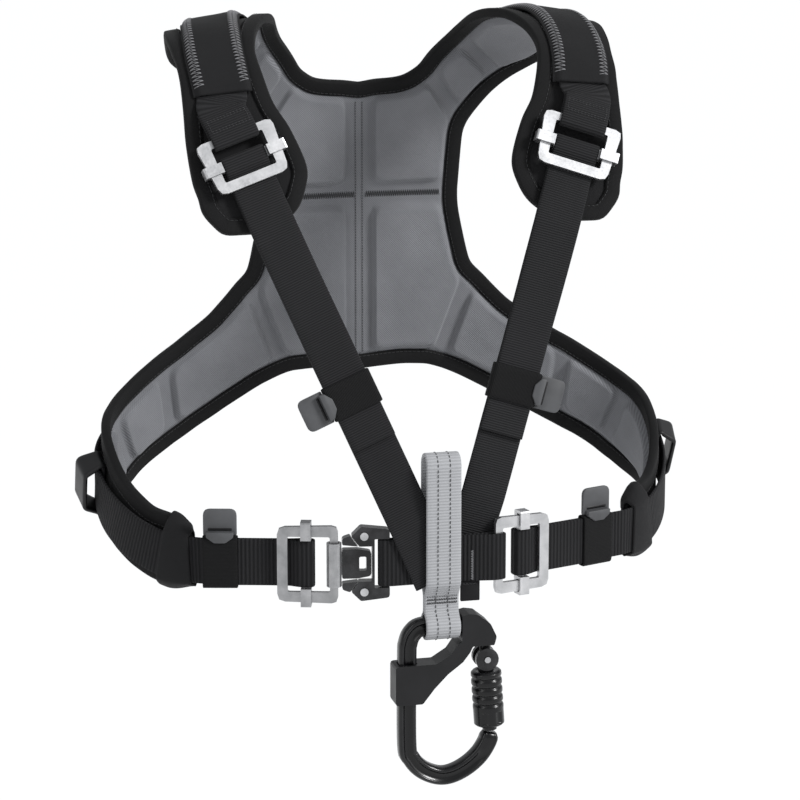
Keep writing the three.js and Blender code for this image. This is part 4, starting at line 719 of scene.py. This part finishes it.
class Axes:
    """A placed set of axes: x along, y across, z to the front."""

    def __init__(self, origin, along, across, front):
        self.origin = np.asarray(origin, float)
        self.basis = np.array([along, across, front], float)

    def at(self, x, y, z):
        return self.origin + np.stack(np.broadcast_arrays(x, y, z), -1) @ self.basis

    def path(self, pairs):
        return np.array([self.at(x, 0, z) for x, z in pairs])


def chest_axes(side, x, y, turn):
    a = math.radians(turn)
    return Axes((side * x, y, CHEST_HEIGHT), (side * math.cos(a), math.sin(a), 0), (0, 0, side),
                (side * math.sin(a), -math.cos(a), 0))


def shoulder_axes(side):
    turn, u, v = math.radians(19.6), 0.762 * SHOULDER_SPREAD, 0.894 * SHOULDER_RUN
    down = np.array([0, -math.sin(FRONT_LEAN), -math.cos(FRONT_LEAN)])
    along = np.array([-side * math.sin(turn), 0, 0]) + down * math.cos(turn)
    front = np.array([0, -math.cos(FRONT_LEAN), math.sin(FRONT_LEAN)])
    return Axes(lifted(side * u, v, FRAME_LIFT), along, np.cross(front, along), front)


CHEST_ADJUSTER = {"right": chest_axes(1, 60.5, -118.5, 12.5), "left": chest_axes(-1, 76, -112, 17)}
SHOULDER_ADJUSTER = {"left": shoulder_axes(-1), "right": shoulder_axes(1)}
QUICK = chest_axes(-1, 42.3, -117.2, 9)


def roll_path(length):
    """Round an adjuster's sliding bar, out under its far ply and back along the near one."""
    edge, out = length / 2 - OUTER_BAR, length / 2 + 1
    left, right = ROLL_X - ROLL_HX, ROLL_X + ROLL_HX
    low, high = -ROLL_DROP - ROLL_HZ, -ROLL_DROP + ROLL_HZ
    return [(out, PLY_FAR), (edge - 1, PLY_FAR), (ROLL_X + 3, low), (left + 0.5, low), (left, low + 0.5),
            (left, high - 0.5), (left + 0.5, high), (right - 1, high), (edge - 0.6, PLY_NEAR),
            (out, PLY_NEAR)]


def fixed_path(length):
    """Round a frame's fixed bar."""
    x = -length / 2 + FIXED_BAR / 2
    hx, hz = FIXED_BAR / 2 + 1.3, FRAME_THICK / 2 + 1.3
    upper = [(x - hx, hz), (x + hx - 0.5, hz), (x + hx, hz - 0.5)]
    return upper + [(px, -pz) for px, pz in reversed(upper)]


def outer_side(normal, route):
    """A ribbon's normals, turned to the outer side where the route ends."""
    return -normal if normal[0] @ route.normals(0)[-1] < 0 else normal


# Shoulder webbing and its sleeve
def shoulder_route(sign):
    return PatternRoute(WEB_ROUTE, (SHOULDER_SPREAD, SHOULDER_RUN), 190, sign)


def make_shoulder_webbing(side, sign):
    route, axes = shoulder_route(sign), SHOULDER_ADJUSTER[side]
    section = strap_section(WEB_WIDTH, WEB)
    rings = route.place(section[:, 0], WEB_LIFT + section[:, 1])
    last = route.place([-1.0, 0, 1.0], WEB_LIFT)[-3:]
    across = axes.basis[1] * np.sign(axes.basis[1] @ (last[-1, 2] - last[-1, 0]))
    bar = fixed_path(SHOULDER_FRAME)
    start, rest = bar[0][0], WEB_LIFT + PLY - FRAME_LIFT
    slope = [(start - 17, rest), (start - 6, bar[0][1] - 1), bar[0]]
    pairs = slope[:2] + bar + [(start - 6, -bar[0][1] - 0.3), (start - 17, rest - PLY)]
    points = np.vstack([last[:, 1], axes.path(pairs)])
    acrosses = np.vstack([unit(last[:, 2] - last[:, 0]), np.tile(across, (len(pairs), 1))])
    line, a, n = ribbon(points, acrosses)
    free = ribbon_rings(line, a, outer_side(n, route), section)
    strap_piece(f"shoulder_web_{side}", np.vstack([rings[:-1], free[2:]]), section, BLACK_WEB,
                "black_webbing", f"shoulder_webbing_{side}")

    def top(x):
        return np.interp(x, *np.transpose(slope)) + WEB / 2 + 0.1

    ends = start - np.array([10.5, 1.8])
    x, y = np.linspace(*ends, 12), np.linspace(-13, 13, 40)
    edges = [axes.at(place, y, top(place)) for place in (ends[0], start - 9.3, start - 3.0, ends[1])]
    edges += [axes.at(x, place, top(x)) for place in (-12.6, 12.6)]
    rows = []
    for edge in edges:
        rows += dashes(edge, 1.5, 0.7, np.tile(axes.basis[2], (len(edge), 1)))
    sew(f"shoulder_tack_{side}", rows, 0.2, DARK_THREAD, "black_webbing")


def zigzag_on(route, rows, offsets, lifts, pitch):
    """Zigzag thread along a route; offsets and lifts are given for its low, middle and high points."""
    s = run_lengths(route.points[rows])
    where = np.arange(int(s[-1] / pitch) * 2) * pitch / 2
    place = route.place(offsets, lifts, rows)
    low, mid, high = (rows_at(where, s, place[:, k]) for k in range(3))
    n = unit(rows_at(where, s, route.normals(offsets[1], rows)))
    stitches = []
    for i in range(len(where) - 1):
        a, b = (low[i], high[i + 1]) if i % 2 == 0 else (high[i], low[i + 1])
        c = (mid[i] + mid[i + 1]) / 2
        stitches += [(a, c, n[i]), (c, b, n[i])]
    return stitches


def make_shoulder_sleeve(side, sign):
    """Cloth strip arched over the webbing, its long edges on the shell, with a zigzag along each."""
    route = shoulder_route(sign)
    first = int(SLEEVE_SHARE * len(route.u))
    low, high = SHELL_OUT + SEAT + TAPE + GAP, WEB_LIFT + WEB / 2 + SEAT
    half = SLEEVE_WIDTH / 2

    def under(offset):
        return low + (high - low) * (1 - smoothstep(np.abs(offset), WEB_WIDTH / 2 - 0.6, half - 0.3))

    offset = half * np.sin(np.linspace(math.pi / 2, -math.pi / 2, 25))
    s = np.arange(len(route.u) - first)[:, None]
    wave = 0.25 * (0.5 + 0.5 * np.sin(0.35 * s + 0.13 * offset + np.sin(s * 0.11)))
    wave = wave * smoothstep(half - np.abs(offset), 0, 5)
    rows = slice(first, None)
    lower = route.place(offset, under(offset) + wave * 0.6, rows)
    upper = route.place(offset, under(offset) + SLEEVE_WALL + wave, rows)[:, ::-1]
    sleeve = tube_mesh(f"sleeve_cloth_{side}", np.concatenate([lower, upper], axis=1), SLEEVE_CLOTH,
                       uvs=uv_grid(s[:, 0] * 1.9, np.concatenate([offset, offset[::-1]])))
    finish_piece(sleeve, "black_cloth", f"shoulder_sleeve_{side}")
    threads = []
    for middle in (-14.3, 14.3):
        offsets = middle + np.array([-3.1, 0, 3.1])
        lifts = under(offsets) + SLEEVE_WALL + 0.3
        threads += zigzag_on(route, slice(first + 3, len(route.u) - 3), offsets, lifts, 2.5)
    sew(f"sleeve_zigzag_{side}", threads, 0.24, ZIGZAG, "grey_webbing")


# V straps with keepers and tabs
class VLine:
    def __init__(self, side):
        self.axes = SHOULDER_ADJUSTER[side]
        self.top = self.axes.at(V_CLEAR, 0, PLY_FAR)
        bend, self.foot = V_FOOT[side]
        self.bend = np.array(bend, float)
        self.run = self.bend - self.top
        self.fall = unit(np.array([self.run[0], 0, self.run[2]]))
        self.foot_across = np.array([-self.fall[2], 0, self.fall[0]])
        self.top_across = self.axes.basis[1] * (1 if self.axes.basis[1] @ self.foot_across > 0 else -1)
        normal = unit(np.cross(self.foot_across, self.run))
        self.normal = -normal if normal[1] > 0 else normal

    def across(self, t):
        w = min(1, 2.5 * t)
        return unit(self.top_across * (1 - w) + self.foot_across * w)

    def share(self, z):
        return (z - self.top[2]) / self.run[2]

    def point(self, t, lift=0.0):
        return self.top + self.run * t + self.normal * lift


def make_v_strap(side):
    line = VLine(side)
    shares, tail = (0.7, 0.4, 0.15), (0.15, 0.4, line.share(V_TAIL_Z))
    path = line.axes.path([(V_CLEAR, PLY_FAR), *roll_path(SHOULDER_FRAME), (V_CLEAR, PLY_NEAR)])
    points = [line.bend + line.fall * line.foot, line.bend, *[line.point(t) for t in shares],
              *path, *[line.point(t, PLY) for t in tail]]
    acrosses = [line.foot_across] * 2 + [line.across(t) for t in shares]
    acrosses += [line.top_across] * len(path) + [line.across(t) for t in tail]
    section = strap_section(V_WIDTH, WEB)
    rings = ribbon_rings(*ribbon(points, acrosses), section, 0.12)
    strap_piece(f"v_web_{side}", rings, section, BLACK_WEB, "black_webbing", f"v_strap_{side}")
    return line


def rounded_outline(corners, steps=6):
    """Flat outline with rounded corners; a corner is (x, y, radius)."""
    points = []
    for i, (x, y, radius) in enumerate(corners):
        p = np.array([x, y], float)
        if radius <= 0:
            points.append(p)
            continue
        before = unit(np.array(corners[i - 1][:2]) - p)
        after = unit(np.array(corners[(i + 1) % len(corners)][:2]) - p)
        half = math.acos(np.clip(before @ after, -1, 1)) / 2
        reach = radius / math.tan(half)
        for t in np.linspace(0, 1, steps):
            points.append(p + reach * ((1 - t) ** 2 * before + t * t * after))
    return np.array(points)


def box_corners(half, low, high, near, far):
    """Corners of a box outline, with one radius for its two low corners and one for the high ones."""
    return [(-half, low, near), (half, low, near), (half, high, far), (-half, high, far)]


def slab_piece(name, corners, axes, low, high, material, soft, slot, *replaces):
    """A rounded slab over a flat outline, with its edges drawn in towards both faces."""
    outline = rounded_outline(corners)
    middle = outline.mean(axis=0)
    away = outline - middle
    reach = np.linalg.norm(away, axis=1, keepdims=True)
    layers = []
    for inset, height in ((soft, low), (soft * 0.3, low + soft * 0.3), (0, low + soft), (0, high - soft),
                          (soft * 0.3, high - soft * 0.3), (soft, high)):
        flat = middle + away * (1 - inset / np.maximum(reach, inset + 0.1))
        layers.append(axes.at(flat[:, 0], flat[:, 1], height))
    finish_piece(tube_mesh(name, layers, material), slot, *replaces)


def make_keeper(label, axes, width):
    """Elastic band round two plies with a moulded pull tab on its +y edge."""
    z = (PLY + WEB) / 2 + 1.1
    loop = rounded_outline(box_corners(width / 2 + 1.1, -z, z, 1.6, 1.6))
    spine = ribbon(axes.at(0, loop[:, 0], loop[:, 1]), np.tile(axes.basis[0], (len(loop), 1)),
                   step=1.0, closed=True, rounds=4)
    section = strap_section(22, 1.2)
    strap_piece(f"{label}_elastic", ribbon_rings(*spine, section, 0.15), section, ELASTIC,
                "black_cloth", label, closed=True)
    y = width / 2 + 2
    slab_piece(f"{label}_pull", box_corners(10.5, y, y + 17, 1, 4.5), axes, -1.1, 1.1, GREY_TAB, 0.55,
               "grey_plastic", label.replace("keeper", "keeper_tab"))
    slab_piece(f"{label}_slit", box_corners(7.6, y + 3.2, y + 4.9, 0.6, 0.6), axes, 0.4, 1.22,
               BLACK_PLASTIC, 0.2, "black_plastic")
    lip = [(-8.8, y + 2.6, 0.8), (-8.4, y - 0.6, 1.5), (-3.4, y - 4.2, 2.2)]
    lip += [(-x, *rest) for x, *rest in reversed(lip)]
    slab_piece(f"{label}_tuck", lip, axes, 0.6, z + 1.6, GREY_TAB, 0.6, "grey_plastic")


def keeper_axes(middle, along, tab_way):
    front = unit(np.cross(along, tab_way))
    x = np.array(along, float)
    if front[1] > 0:
        front, x = -front, -x
    return Axes(middle, x, unit(np.cross(front, x)), front)


# Chest webbing, its keepers, and the band and loop on each side
def chest_route(sign, steps):
    return PatternRoute(CHEST_ROUTE, (WING_REACH, PANEL_HEIGHT), steps, sign)


def chest_run(side, sign):
    """Rings from the middle of the back to the adjuster and back along the front; the keeper's axes."""
    route = chest_route(sign, 200)
    section = strap_section(WEB_WIDTH, WEB)
    rings = route.place(sign * section[:, 0], CHEST_LIFT + section[:, 1])
    middle = route.place([0.0], CHEST_LIFT)[:, 0]
    inner = middle[-1]
    axes, path = CHEST_ADJUSTER[side], roll_path(CHEST_FRAME)
    straight = axes.at(path[0][0] + 3, 0, path[0][1]) - inner
    upright = np.array([0, 0, 1.0])
    front = unit(np.cross(straight, upright))
    front = -front if front[1] > 0 else front
    points = [middle[-3]] + [inner + straight * t for t in (0, 0.33, 0.66)] + list(axes.path(path))
    tail = (0.66, 0.33, CHEST_TAIL / np.linalg.norm(straight))
    points += [inner + straight * t + front * PLY for t in tail]
    line, a, n = ribbon(points, np.tile(upright, (len(points), 1)))
    free = ribbon_rings(line, a, outer_side(n, route), section, 0.12)
    ring_x = sign * np.interp(CHEST_KEEPER_U[side], RING_S, RING_X)
    place = inner + straight * (ring_x - inner[0]) / straight[0] + front * PLY / 2
    return np.vstack([rings[:-1], free[3:]]), keeper_axes(place, unit(straight), upright)


def make_chest_webbing():
    left, right = (chest_run(side, sign) for side, sign in SIDES)
    strap_piece("chest_web", np.vstack([left[0][::-1], right[0][1:]]), strap_section(WEB_WIDTH, WEB),
                DARK_RIB_WEB, "black_webbing", "chest_webbing")
    make_keeper("chest_keeper_left", left[1], WEB_WIDTH)
    make_keeper("chest_keeper_right", right[1], WEB_WIDTH)


def make_wing_sleeve(side, sign):
    """Cloth band round the wing's tip and over the webbing, narrower towards the front."""
    route = chest_route(sign, 600)
    share = route.points[:, 0] / WING_REACH
    rows = np.where((share >= HOOD_FROM) & (share <= HOOD_TO))[0][::2]
    over = CHEST_LIFT + WEB / 2 + GAP + SLEEVE_WALL
    edge = 0.45 * over + 4.6
    rings, uvs = [], []
    for row, t in zip(rows, np.linspace(0, 1, len(rows))):
        top = 25.4 - 8.4 * t * t
        low = -21.8 + 4.4 * smoothstep(t, 0.2, 1.0)
        under = 4 * smoothstep(t, 0.8, 1) - EDGE_IN - 2.9
        crest = over + 0.5 * math.sin(math.pi * t)
        curve = [(top - 7, under), (top - 1.5, under), (top + 1.2, under + 2.2), (top + 1.3, 3.2),
                 (0.4 * top + 9, edge), (13, crest), (0, crest + 0.2), (-13, crest),
                 (0.4 * low - 9, edge), (low - 1.0, 3.2), (low - 0.9, under + 2.2), (low + 1.5, under),
                 (low + 6, under)]
        line = smooth_line(curve, 0.5)
        outer = resample(line, (len(line) - 1) * 0.5 / HOOD_COLUMNS)[:HOOD_COLUMNS]
        way = unit(np.gradient(outer, axis=0))
        inner = outer + np.stack([-way[:, 1], way[:, 0]], axis=1) * SLEEVE_WALL
        section = np.vstack([outer, inner[::-1]])
        rings.append(route.place(sign * section[:, 0], section[:, 1], slice(row, row + 1))[0])
        uvs.append([(t * 22 * MM, x * MM) for x in section[:, 0]])
    hood = tube_mesh(f"wing_hood_{side}", rings, SLEEVE_CLOTH, uvs=uvs)
    finish_piece(hood, "black_cloth", f"wing_sleeve_{side}")


def make_side_loop(side, sign):
    """Stiff moulded band standing out round the chest webbing; broader than deep."""
    route = chest_route(sign, 500)
    row = int(np.argmin(np.abs(np.linspace(0, 1, len(route.u)) - SIDE_LOOP_SHARE)))
    ends = route.place([1.0, -1.0], 0)[row]
    up, out = unit(ends[0] - ends[1]), outward(route.u[row], route.v[row])
    along = unit(np.cross(up, out))
    axes = Axes(worn(route.u[row], route.v[row]), up, out, along)
    base, half, proud = SHELL_OUT + SEAT + TAPE + GAP, 20.5, 17.5
    loop = rounded_outline([(-half, base + 1, 1.5), (half, base + 1, 1.5),
                            (half - 7, proud, 4), (7 - half, proud, 4)])
    line, a, n = ribbon(axes.at(loop[:, 0], loop[:, 1], 0), np.tile(along + 0.2 * out, (len(loop), 1)),
                        step=1.0, closed=True, rounds=6)
    section = strap_section(20.0, 3.0)
    taper = 0.78 + 0.22 * smoothstep((line - axes.origin) @ out, base, proud)
    strap_piece(f"gear_loop_{side}", ribbon_rings(line, a * taper[:, None], n, section), section,
                BLACK_PLASTIC, "black_plastic", f"side_loop_{side}", closed=True)


# Front webbing, sternal loop and tag
BAR_TACK, FOLD_TACK = ((27.2, -341), (27.2, -321)), ((34.6, -341), (34.6, -313))
TAG_X, TAG_Z, TAG_SEAM = 26.25, -348.85, ((21.2, -344), (31.3, -344))


def zigzag_flat(start, end, half, pitch, y):
    """Zigzag thread on the front, from start to end (x, z)."""
    way = unit(np.subtract(end, start))
    side = np.array([-way[1], way[0]]) * half
    count = int(math.dist(start, end) / pitch)
    flat = [start + way * pitch * i + side * (1 if i % 2 else -1) for i in range(count)]
    corners = [np.array([x, y, z]) for x, z in flat]
    return [(p, q, FACING_FRONT) for p, q in zip(corners, corners[1:])]


def closed_band(name, points, across, section, material, ripple, slot, *replaces, **rounding):
    """A band sewn into a ring through the points; returns its line, across directions and normals."""
    spine = ribbon(points, np.tile(across, (len(points), 1)), closed=True, **rounding)
    strap_piece(name, ribbon_rings(*spine, section, ripple), section, material, slot, *replaces, closed=True)
    return spine


def make_front_webbing():
    right = CHEST_ADJUSTER["right"].path(fixed_path(CHEST_FRAME))
    offset = QUICK_BAR_X + CHEST_FRAME / 2 - FIXED_BAR / 2
    left = QUICK.path([(x + offset, z) for x, z in fixed_path(CHEST_FRAME)])[::-1]
    front = [(x, CROSSING_Y - PLY / 2, CHEST_HEIGHT) for x in (-12, 24)]
    rear = [(x, CROSSING_Y + PLY / 2, CHEST_HEIGHT) for x in (24, -12)]
    closed_band("front_web", np.vstack([front, right, rear, left]), (0, 0, 1.0),
                strap_section(WEB_WIDTH, WEB), DARK_RIB_WEB, 0, "black_webbing", "front_webbing", rounds=12)
    surface = CROSSING_Y - PLY / 2 - WEB / 2 - 0.1
    tack = zigzag_flat(*BAR_TACK, 1.4, 0.8, surface)
    sew("front_bar_tack", tack, 0.3, ZIGZAG, "grey_webbing")
    tack = zigzag_flat(*FOLD_TACK, 1.2, 0.9, surface)
    sew("front_fold_tack", tack, 0.22, STITCH_GREY, "black_webbing")


def make_sternal_loop():
    middle = LOOP_HALF + LOOP_WEB / 2
    top = LOOP_TOP - LOOP_HALF - LOOP_WEB
    neck, eye = LOOP_WEB / 2 + 0.1, LOOP_EYE + LOOP_WEB / 2
    pairs = [(middle * math.cos(a), top + middle * math.sin(a)) for a in np.linspace(0, math.pi, 12)]
    pairs += [(-middle, TACK_TOP + 8), (-neck, TACK_TOP - 1), (-neck, PIVOT_Z + eye + 2)]
    pairs += [(eye * math.cos(a), PIVOT_Z + eye * math.sin(a)) for a in np.radians(np.linspace(115, 425, 22))]
    pairs += [(neck, PIVOT_Z + eye + 2), (neck, TACK_TOP - 1), (middle, TACK_TOP + 8)]
    points = [(LOOP_X, CROSSING_Y - y, z) for y, z in pairs]
    section = strap_section(LOOP_WIDTH, LOOP_WEB)
    line, a, n = closed_band("sternal_web", points, (1.0, 0, 0), section, GREY_WEB, 0.08,
                             "grey_webbing", "sternal_loop", rounds=10, step=1.1)
    n = n * np.sign((n * (line - np.array([LOOP_X, CROSSING_Y, top]))).sum(1).mean())
    front = (line[:, 1] < CROSSING_Y) | (line[:, 2] > LOOP_SEAM_END_Z)
    rows = []
    for offset in (-3.9, 3.9):
        seam = line + a * offset + n * (LOOP_WEB / 2 + 0.12)
        rows += dashes(seam[front], 2.1, 0.9, n[front])
    rows = [stitch for stitch in rows if np.linalg.norm(stitch[1] - stitch[0]) < 4]
    sew("sternal_seams", rows, 0.24, DARK_THREAD, "grey_webbing")
    y = CROSSING_Y - neck - LOOP_WEB / 2 - 0.12
    across = LOOP_X + np.arange(-9.6, 9.6, 1.1)
    starts = [np.array([x, y, z]) for z in LOOP_TACK_Z for x in across]
    tack = [(start, start + np.array([0.7, 0, 1.5]), FACING_FRONT) for start in starts]
    sew("sternal_bar_tack", tack, 0.26, DARK_THREAD, "grey_webbing")


def make_tag():
    axes = Axes((TAG_X, CROSSING_Y, TAG_Z), (1, 0, 0), (0, 0, 1), FACING_FRONT)
    slab_piece("folded_tag", box_corners(6.25, -6.5, 6.6, 0.8, 0.5), axes, -0.8, 0.8, SLEEVE_CLOTH, 0.35,
               "black_cloth", "end_tag")
    seam = zigzag_flat(*TAG_SEAM, 0.5, 0.9, CROSSING_Y - 0.95)
    sew("tag_seam", seam, 0.16, STITCH_GREY, "black_cloth")


# Carabiner
PIN_X, PIN_Z, GATE_TILT = 36.4, -393.4, math.radians(4)
BODY_LINE = [(34.8, -380.5), (27, -372.8), (19, PIVOT_Z), (-4, PIVOT_Z), (-11, -373.5), (-14, -380),
             (-14.7, -390), (-14.7, -446), (-12, -456.5), (-5, -464.5), (5, -469.3), (14, -469.3),
             (24, -465), (32.5, -458), (38, -449.5), (39.7, -443.2)]
TONGUE_LINE = [(PIN_X, -398.2), (PIN_X, PIN_Z), (36.3, -384.5)]
BAR_HALF, BAR_DEPTH_HALF = 5.75, 5.0
LOCK_RADIUS, LOCK_BORE, LOCK_SPAN, LOCK_GROOVES = 9.75, 5.1, (8.5, 44.5), (13.0, 18.6, 24.2, 29.8)


def bar_section(half, depth, web, groove):
    """Rounded bar with a groove on both faces; `groove` is its depth and `web` half its width."""
    quarter = [(half, 0), (half, depth - 2.4), (half - 0.5, depth - 1.1), (half - 1.3, depth - 0.3),
               (web + 1, depth), (web + 0.3, depth - 0.25), (web - 0.4, depth - groove), (0, depth - groove)]
    left = [(-x, y) for x, y in reversed(quarter[:-1])]
    top = quarter + left
    return np.array(top + [(x, -y) for x, y in reversed(top[1:-1])])


def sweep_rings(line, sections):
    line = np.asarray(line, float)
    way = unit(np.gradient(line, axis=0))
    inward = np.stack([-way[:, 1], way[:, 0]], axis=1)
    rings = []
    for (x, z), n, section in zip(line, inward, sections):
        rings.append([(x + n[0] * i, CROSSING_Y + j, z + n[1] * i) for i, j in section])
    return np.array(rings)


def make_connector():
    line = smooth_line(BODY_LINE, 1.2)
    depth = 2.0 * plateau(np.linspace(0, 1, len(line)), 0.13, 0.19, 0.9, 0.95)
    taper = np.concatenate([np.linspace(0.72, 0.93, 3), np.ones(len(line) - 6), np.linspace(0.96, 0.75, 3)])
    sections = [bar_section(BAR_HALF, BAR_DEPTH_HALF, 2.7, groove) * t for groove, t in zip(depth, taper)]
    body = tube_mesh("carabiner_body", sweep_rings(line, sections), BLACK_METAL)
    finish_piece(body, "black_metal", "connector_body", body="carabiner")
    tongue = smooth_line(TONGUE_LINE + BODY_LINE[:1], 1.0)
    section = bar_section(3.7, 2.5, 0.8, 0.0)
    blade = tube_mesh("carabiner_tongue", sweep_rings(tongue, [section] * len(tongue)), BLACK_METAL)
    finish_piece(blade, "black_metal", body="carabiner")


def make_lock_sleeve():
    """Turned sleeve: four grooves down its length, then finger slots near the bottom."""
    up = np.array([-math.sin(GATE_TILT), 0, math.cos(GATE_TILT)])
    side = np.array([math.cos(GATE_TILT), 0, math.sin(GATE_TILT)])
    pin = np.array([PIN_X, CROSSING_Y, PIN_Z])
    top, bottom = LOCK_SPAN
    down = np.linspace(top, bottom, 120)
    radius = LOCK_RADIUS - 1.1 * (1 - smoothstep(down - top, 0, 1.1))
    radius -= 1 - smoothstep(bottom - down, 0, 1)
    for centre in LOCK_GROOVES:
        radius -= 0.95 * np.exp(-(down - centre) ** 2)
    angles = np.linspace(0, FULL_TURN, 64, endpoint=False)
    slots = np.zeros(len(angles))
    for middle in np.radians((-62, -118, 62, 118)):
        slots += 1 - smoothstep(np.abs((angles - middle + math.pi) % FULL_TURN - math.pi), 0.13, 0.24)
    r = radius[:, None] - 0.9 * plateau(down, 34.5, 35.4, 42, 43)[:, None] * slots
    r = r + 0.12 * plateau(down, 10, 11, 33, 34)[:, None] * np.cos(angles * 32)
    ring = side * np.cos(angles)[:, None] - FACING_FRONT * np.sin(angles)[:, None]
    outer = pin - up * down[:, None, None] + ring * r[..., None]
    bore = [pin - up * height + ring * LOCK_BORE for height in (bottom, top)]
    sleeve = tube_mesh("ribbed_sleeve", np.concatenate([outer, bore]), BLACK_METAL, closed=True)
    finish_piece(sleeve, "black_metal", "connector_sleeve", body="lock_sleeve")


# CAD pieces that stay: rounded edges and their own metal or plastic, except the left-side steel, which
# carries painted shade
CAD_LOOKS = {
    "shoulder_buckle": (STEEL, 0.9), "shoulder_buckle_bar": (STEEL, 0.5),
    "chest_adjuster_right": (STEEL, 0.9), "chest_adjuster_bar_right": (STEEL, 0.5),
    # Left chest adjuster, its bar and the quick link: steel with painted shade
    "chest_adjuster_left": (STEEL_LEFT_PAINTED_SHADE, 0.9), "chest_adjuster_bar_left": (STEEL_LEFT_PAINTED_SHADE, 0.5),
    "quick_body": (BLACK_METAL, 0.7), "quick_tongue": (BLACK_METAL, 0.5), "quick_lever": (BLACK_METAL, 0.6),
    "quick_link": (STEEL_LEFT_PAINTED_SHADE, 0.3), "quick_rivet": (STEEL, 0.45), "connector_rivet": (STEEL, 0.5),
    "connector_gate": (BLACK_METAL, 0.4), "positioning_bar": (BLACK_PLASTIC, 1.1)}


def dress_cad_nodes():
    for name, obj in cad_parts.items():
        if obj.hide_render:
            continue
        material, width = CAD_LOOKS[max((key for key in CAD_LOOKS if name.startswith(key)), key=len)]
        obj.data.materials.clear()
        obj.data.materials.append(material)
        bevel = obj.modifiers.new("bevel", "BEVEL")
        bevel.width = width * MM
        bevel.segments = 3
        bevel.limit_method = "ANGLE"
        bevel.angle_limit = math.radians(30)
        obj.data.polygons.foreach_set("use_smooth", [True] * len(obj.data.polygons))


# Studio: soft light from the right and a pale floor as far below as under a wearer
HANG_HEIGHT = 930


def make_sun(strength, azimuth, elevation, spread):
    data = bpy.data.lights.new("sun", "SUN")
    data.energy = strength
    data.angle = math.radians(spread)
    a, e = math.radians(azimuth), math.radians(elevation)
    towards = Vector((math.sin(a) * math.cos(e), -math.cos(a) * math.cos(e), math.sin(e)))
    face_along(add_object("sun", data), -towards)


def make_strip(name, energy, place, size):
    data = bpy.data.lights.new(name, "AREA")
    data.energy = energy
    data.shape = "RECTANGLE"
    data.size, data.size_y = size
    strip = add_object(name, data)
    strip.location = place
    face_along(strip, Vector((0, 0, -0.25)) - Vector(place))


def make_stage():
    bpy.ops.mesh.primitive_plane_add(size=120, location=(0, 0, CAD_BOX[0][2] - HANG_HEIGHT * MM))
    floor = bpy.context.object
    floor.name = "floor"
    floor.data.materials.append(Graph("pale_ground", (0.9, 0.9, 0.9), 0.95, specular=0.0).material)
    world = bpy.data.worlds.new("studio")
    bpy.context.scene.world = world
    world.use_nodes = True
    sky = world.node_tree.nodes["Background"].inputs
    sky["Color"].default_value = (0.97, 0.985, 1, 1)
    sky["Strength"].default_value = 0.62
    make_sun(2.85, 52, 34, 16)
    make_strip("left_strip", 5, (-1.3, -0.9, 0.5), (0.5, 1.6))
    make_strip("right_strip", 4, (1.3, -1.0, 0.2), (0.4, 1.6))
    bpy.context.scene.view_settings.view_transform = "Standard"


def build():
    make_pad()
    make_binding()
    make_pad_seams()
    for side, sign in SIDES:
        make_shoulder_webbing(side, sign)
        make_shoulder_sleeve(side, sign)
        line = make_v_strap(side)
        tab_way = line.foot_across * (1 if line.foot_across[0] * sign > 0 else -1)
        middle = line.point(line.share(V_KEEPER_Z), PLY / 2)
        make_keeper(f"v_keeper_{side}", keeper_axes(middle, unit(line.run), tab_way), V_WIDTH)
        make_wing_sleeve(side, sign)
        make_side_loop(side, sign)
    make_chest_webbing()
    make_front_webbing()
    make_sternal_loop()
    make_tag()
    make_connector()
    make_lock_sleeve()
    dress_cad_nodes()


make_camera()
build()
make_stage()
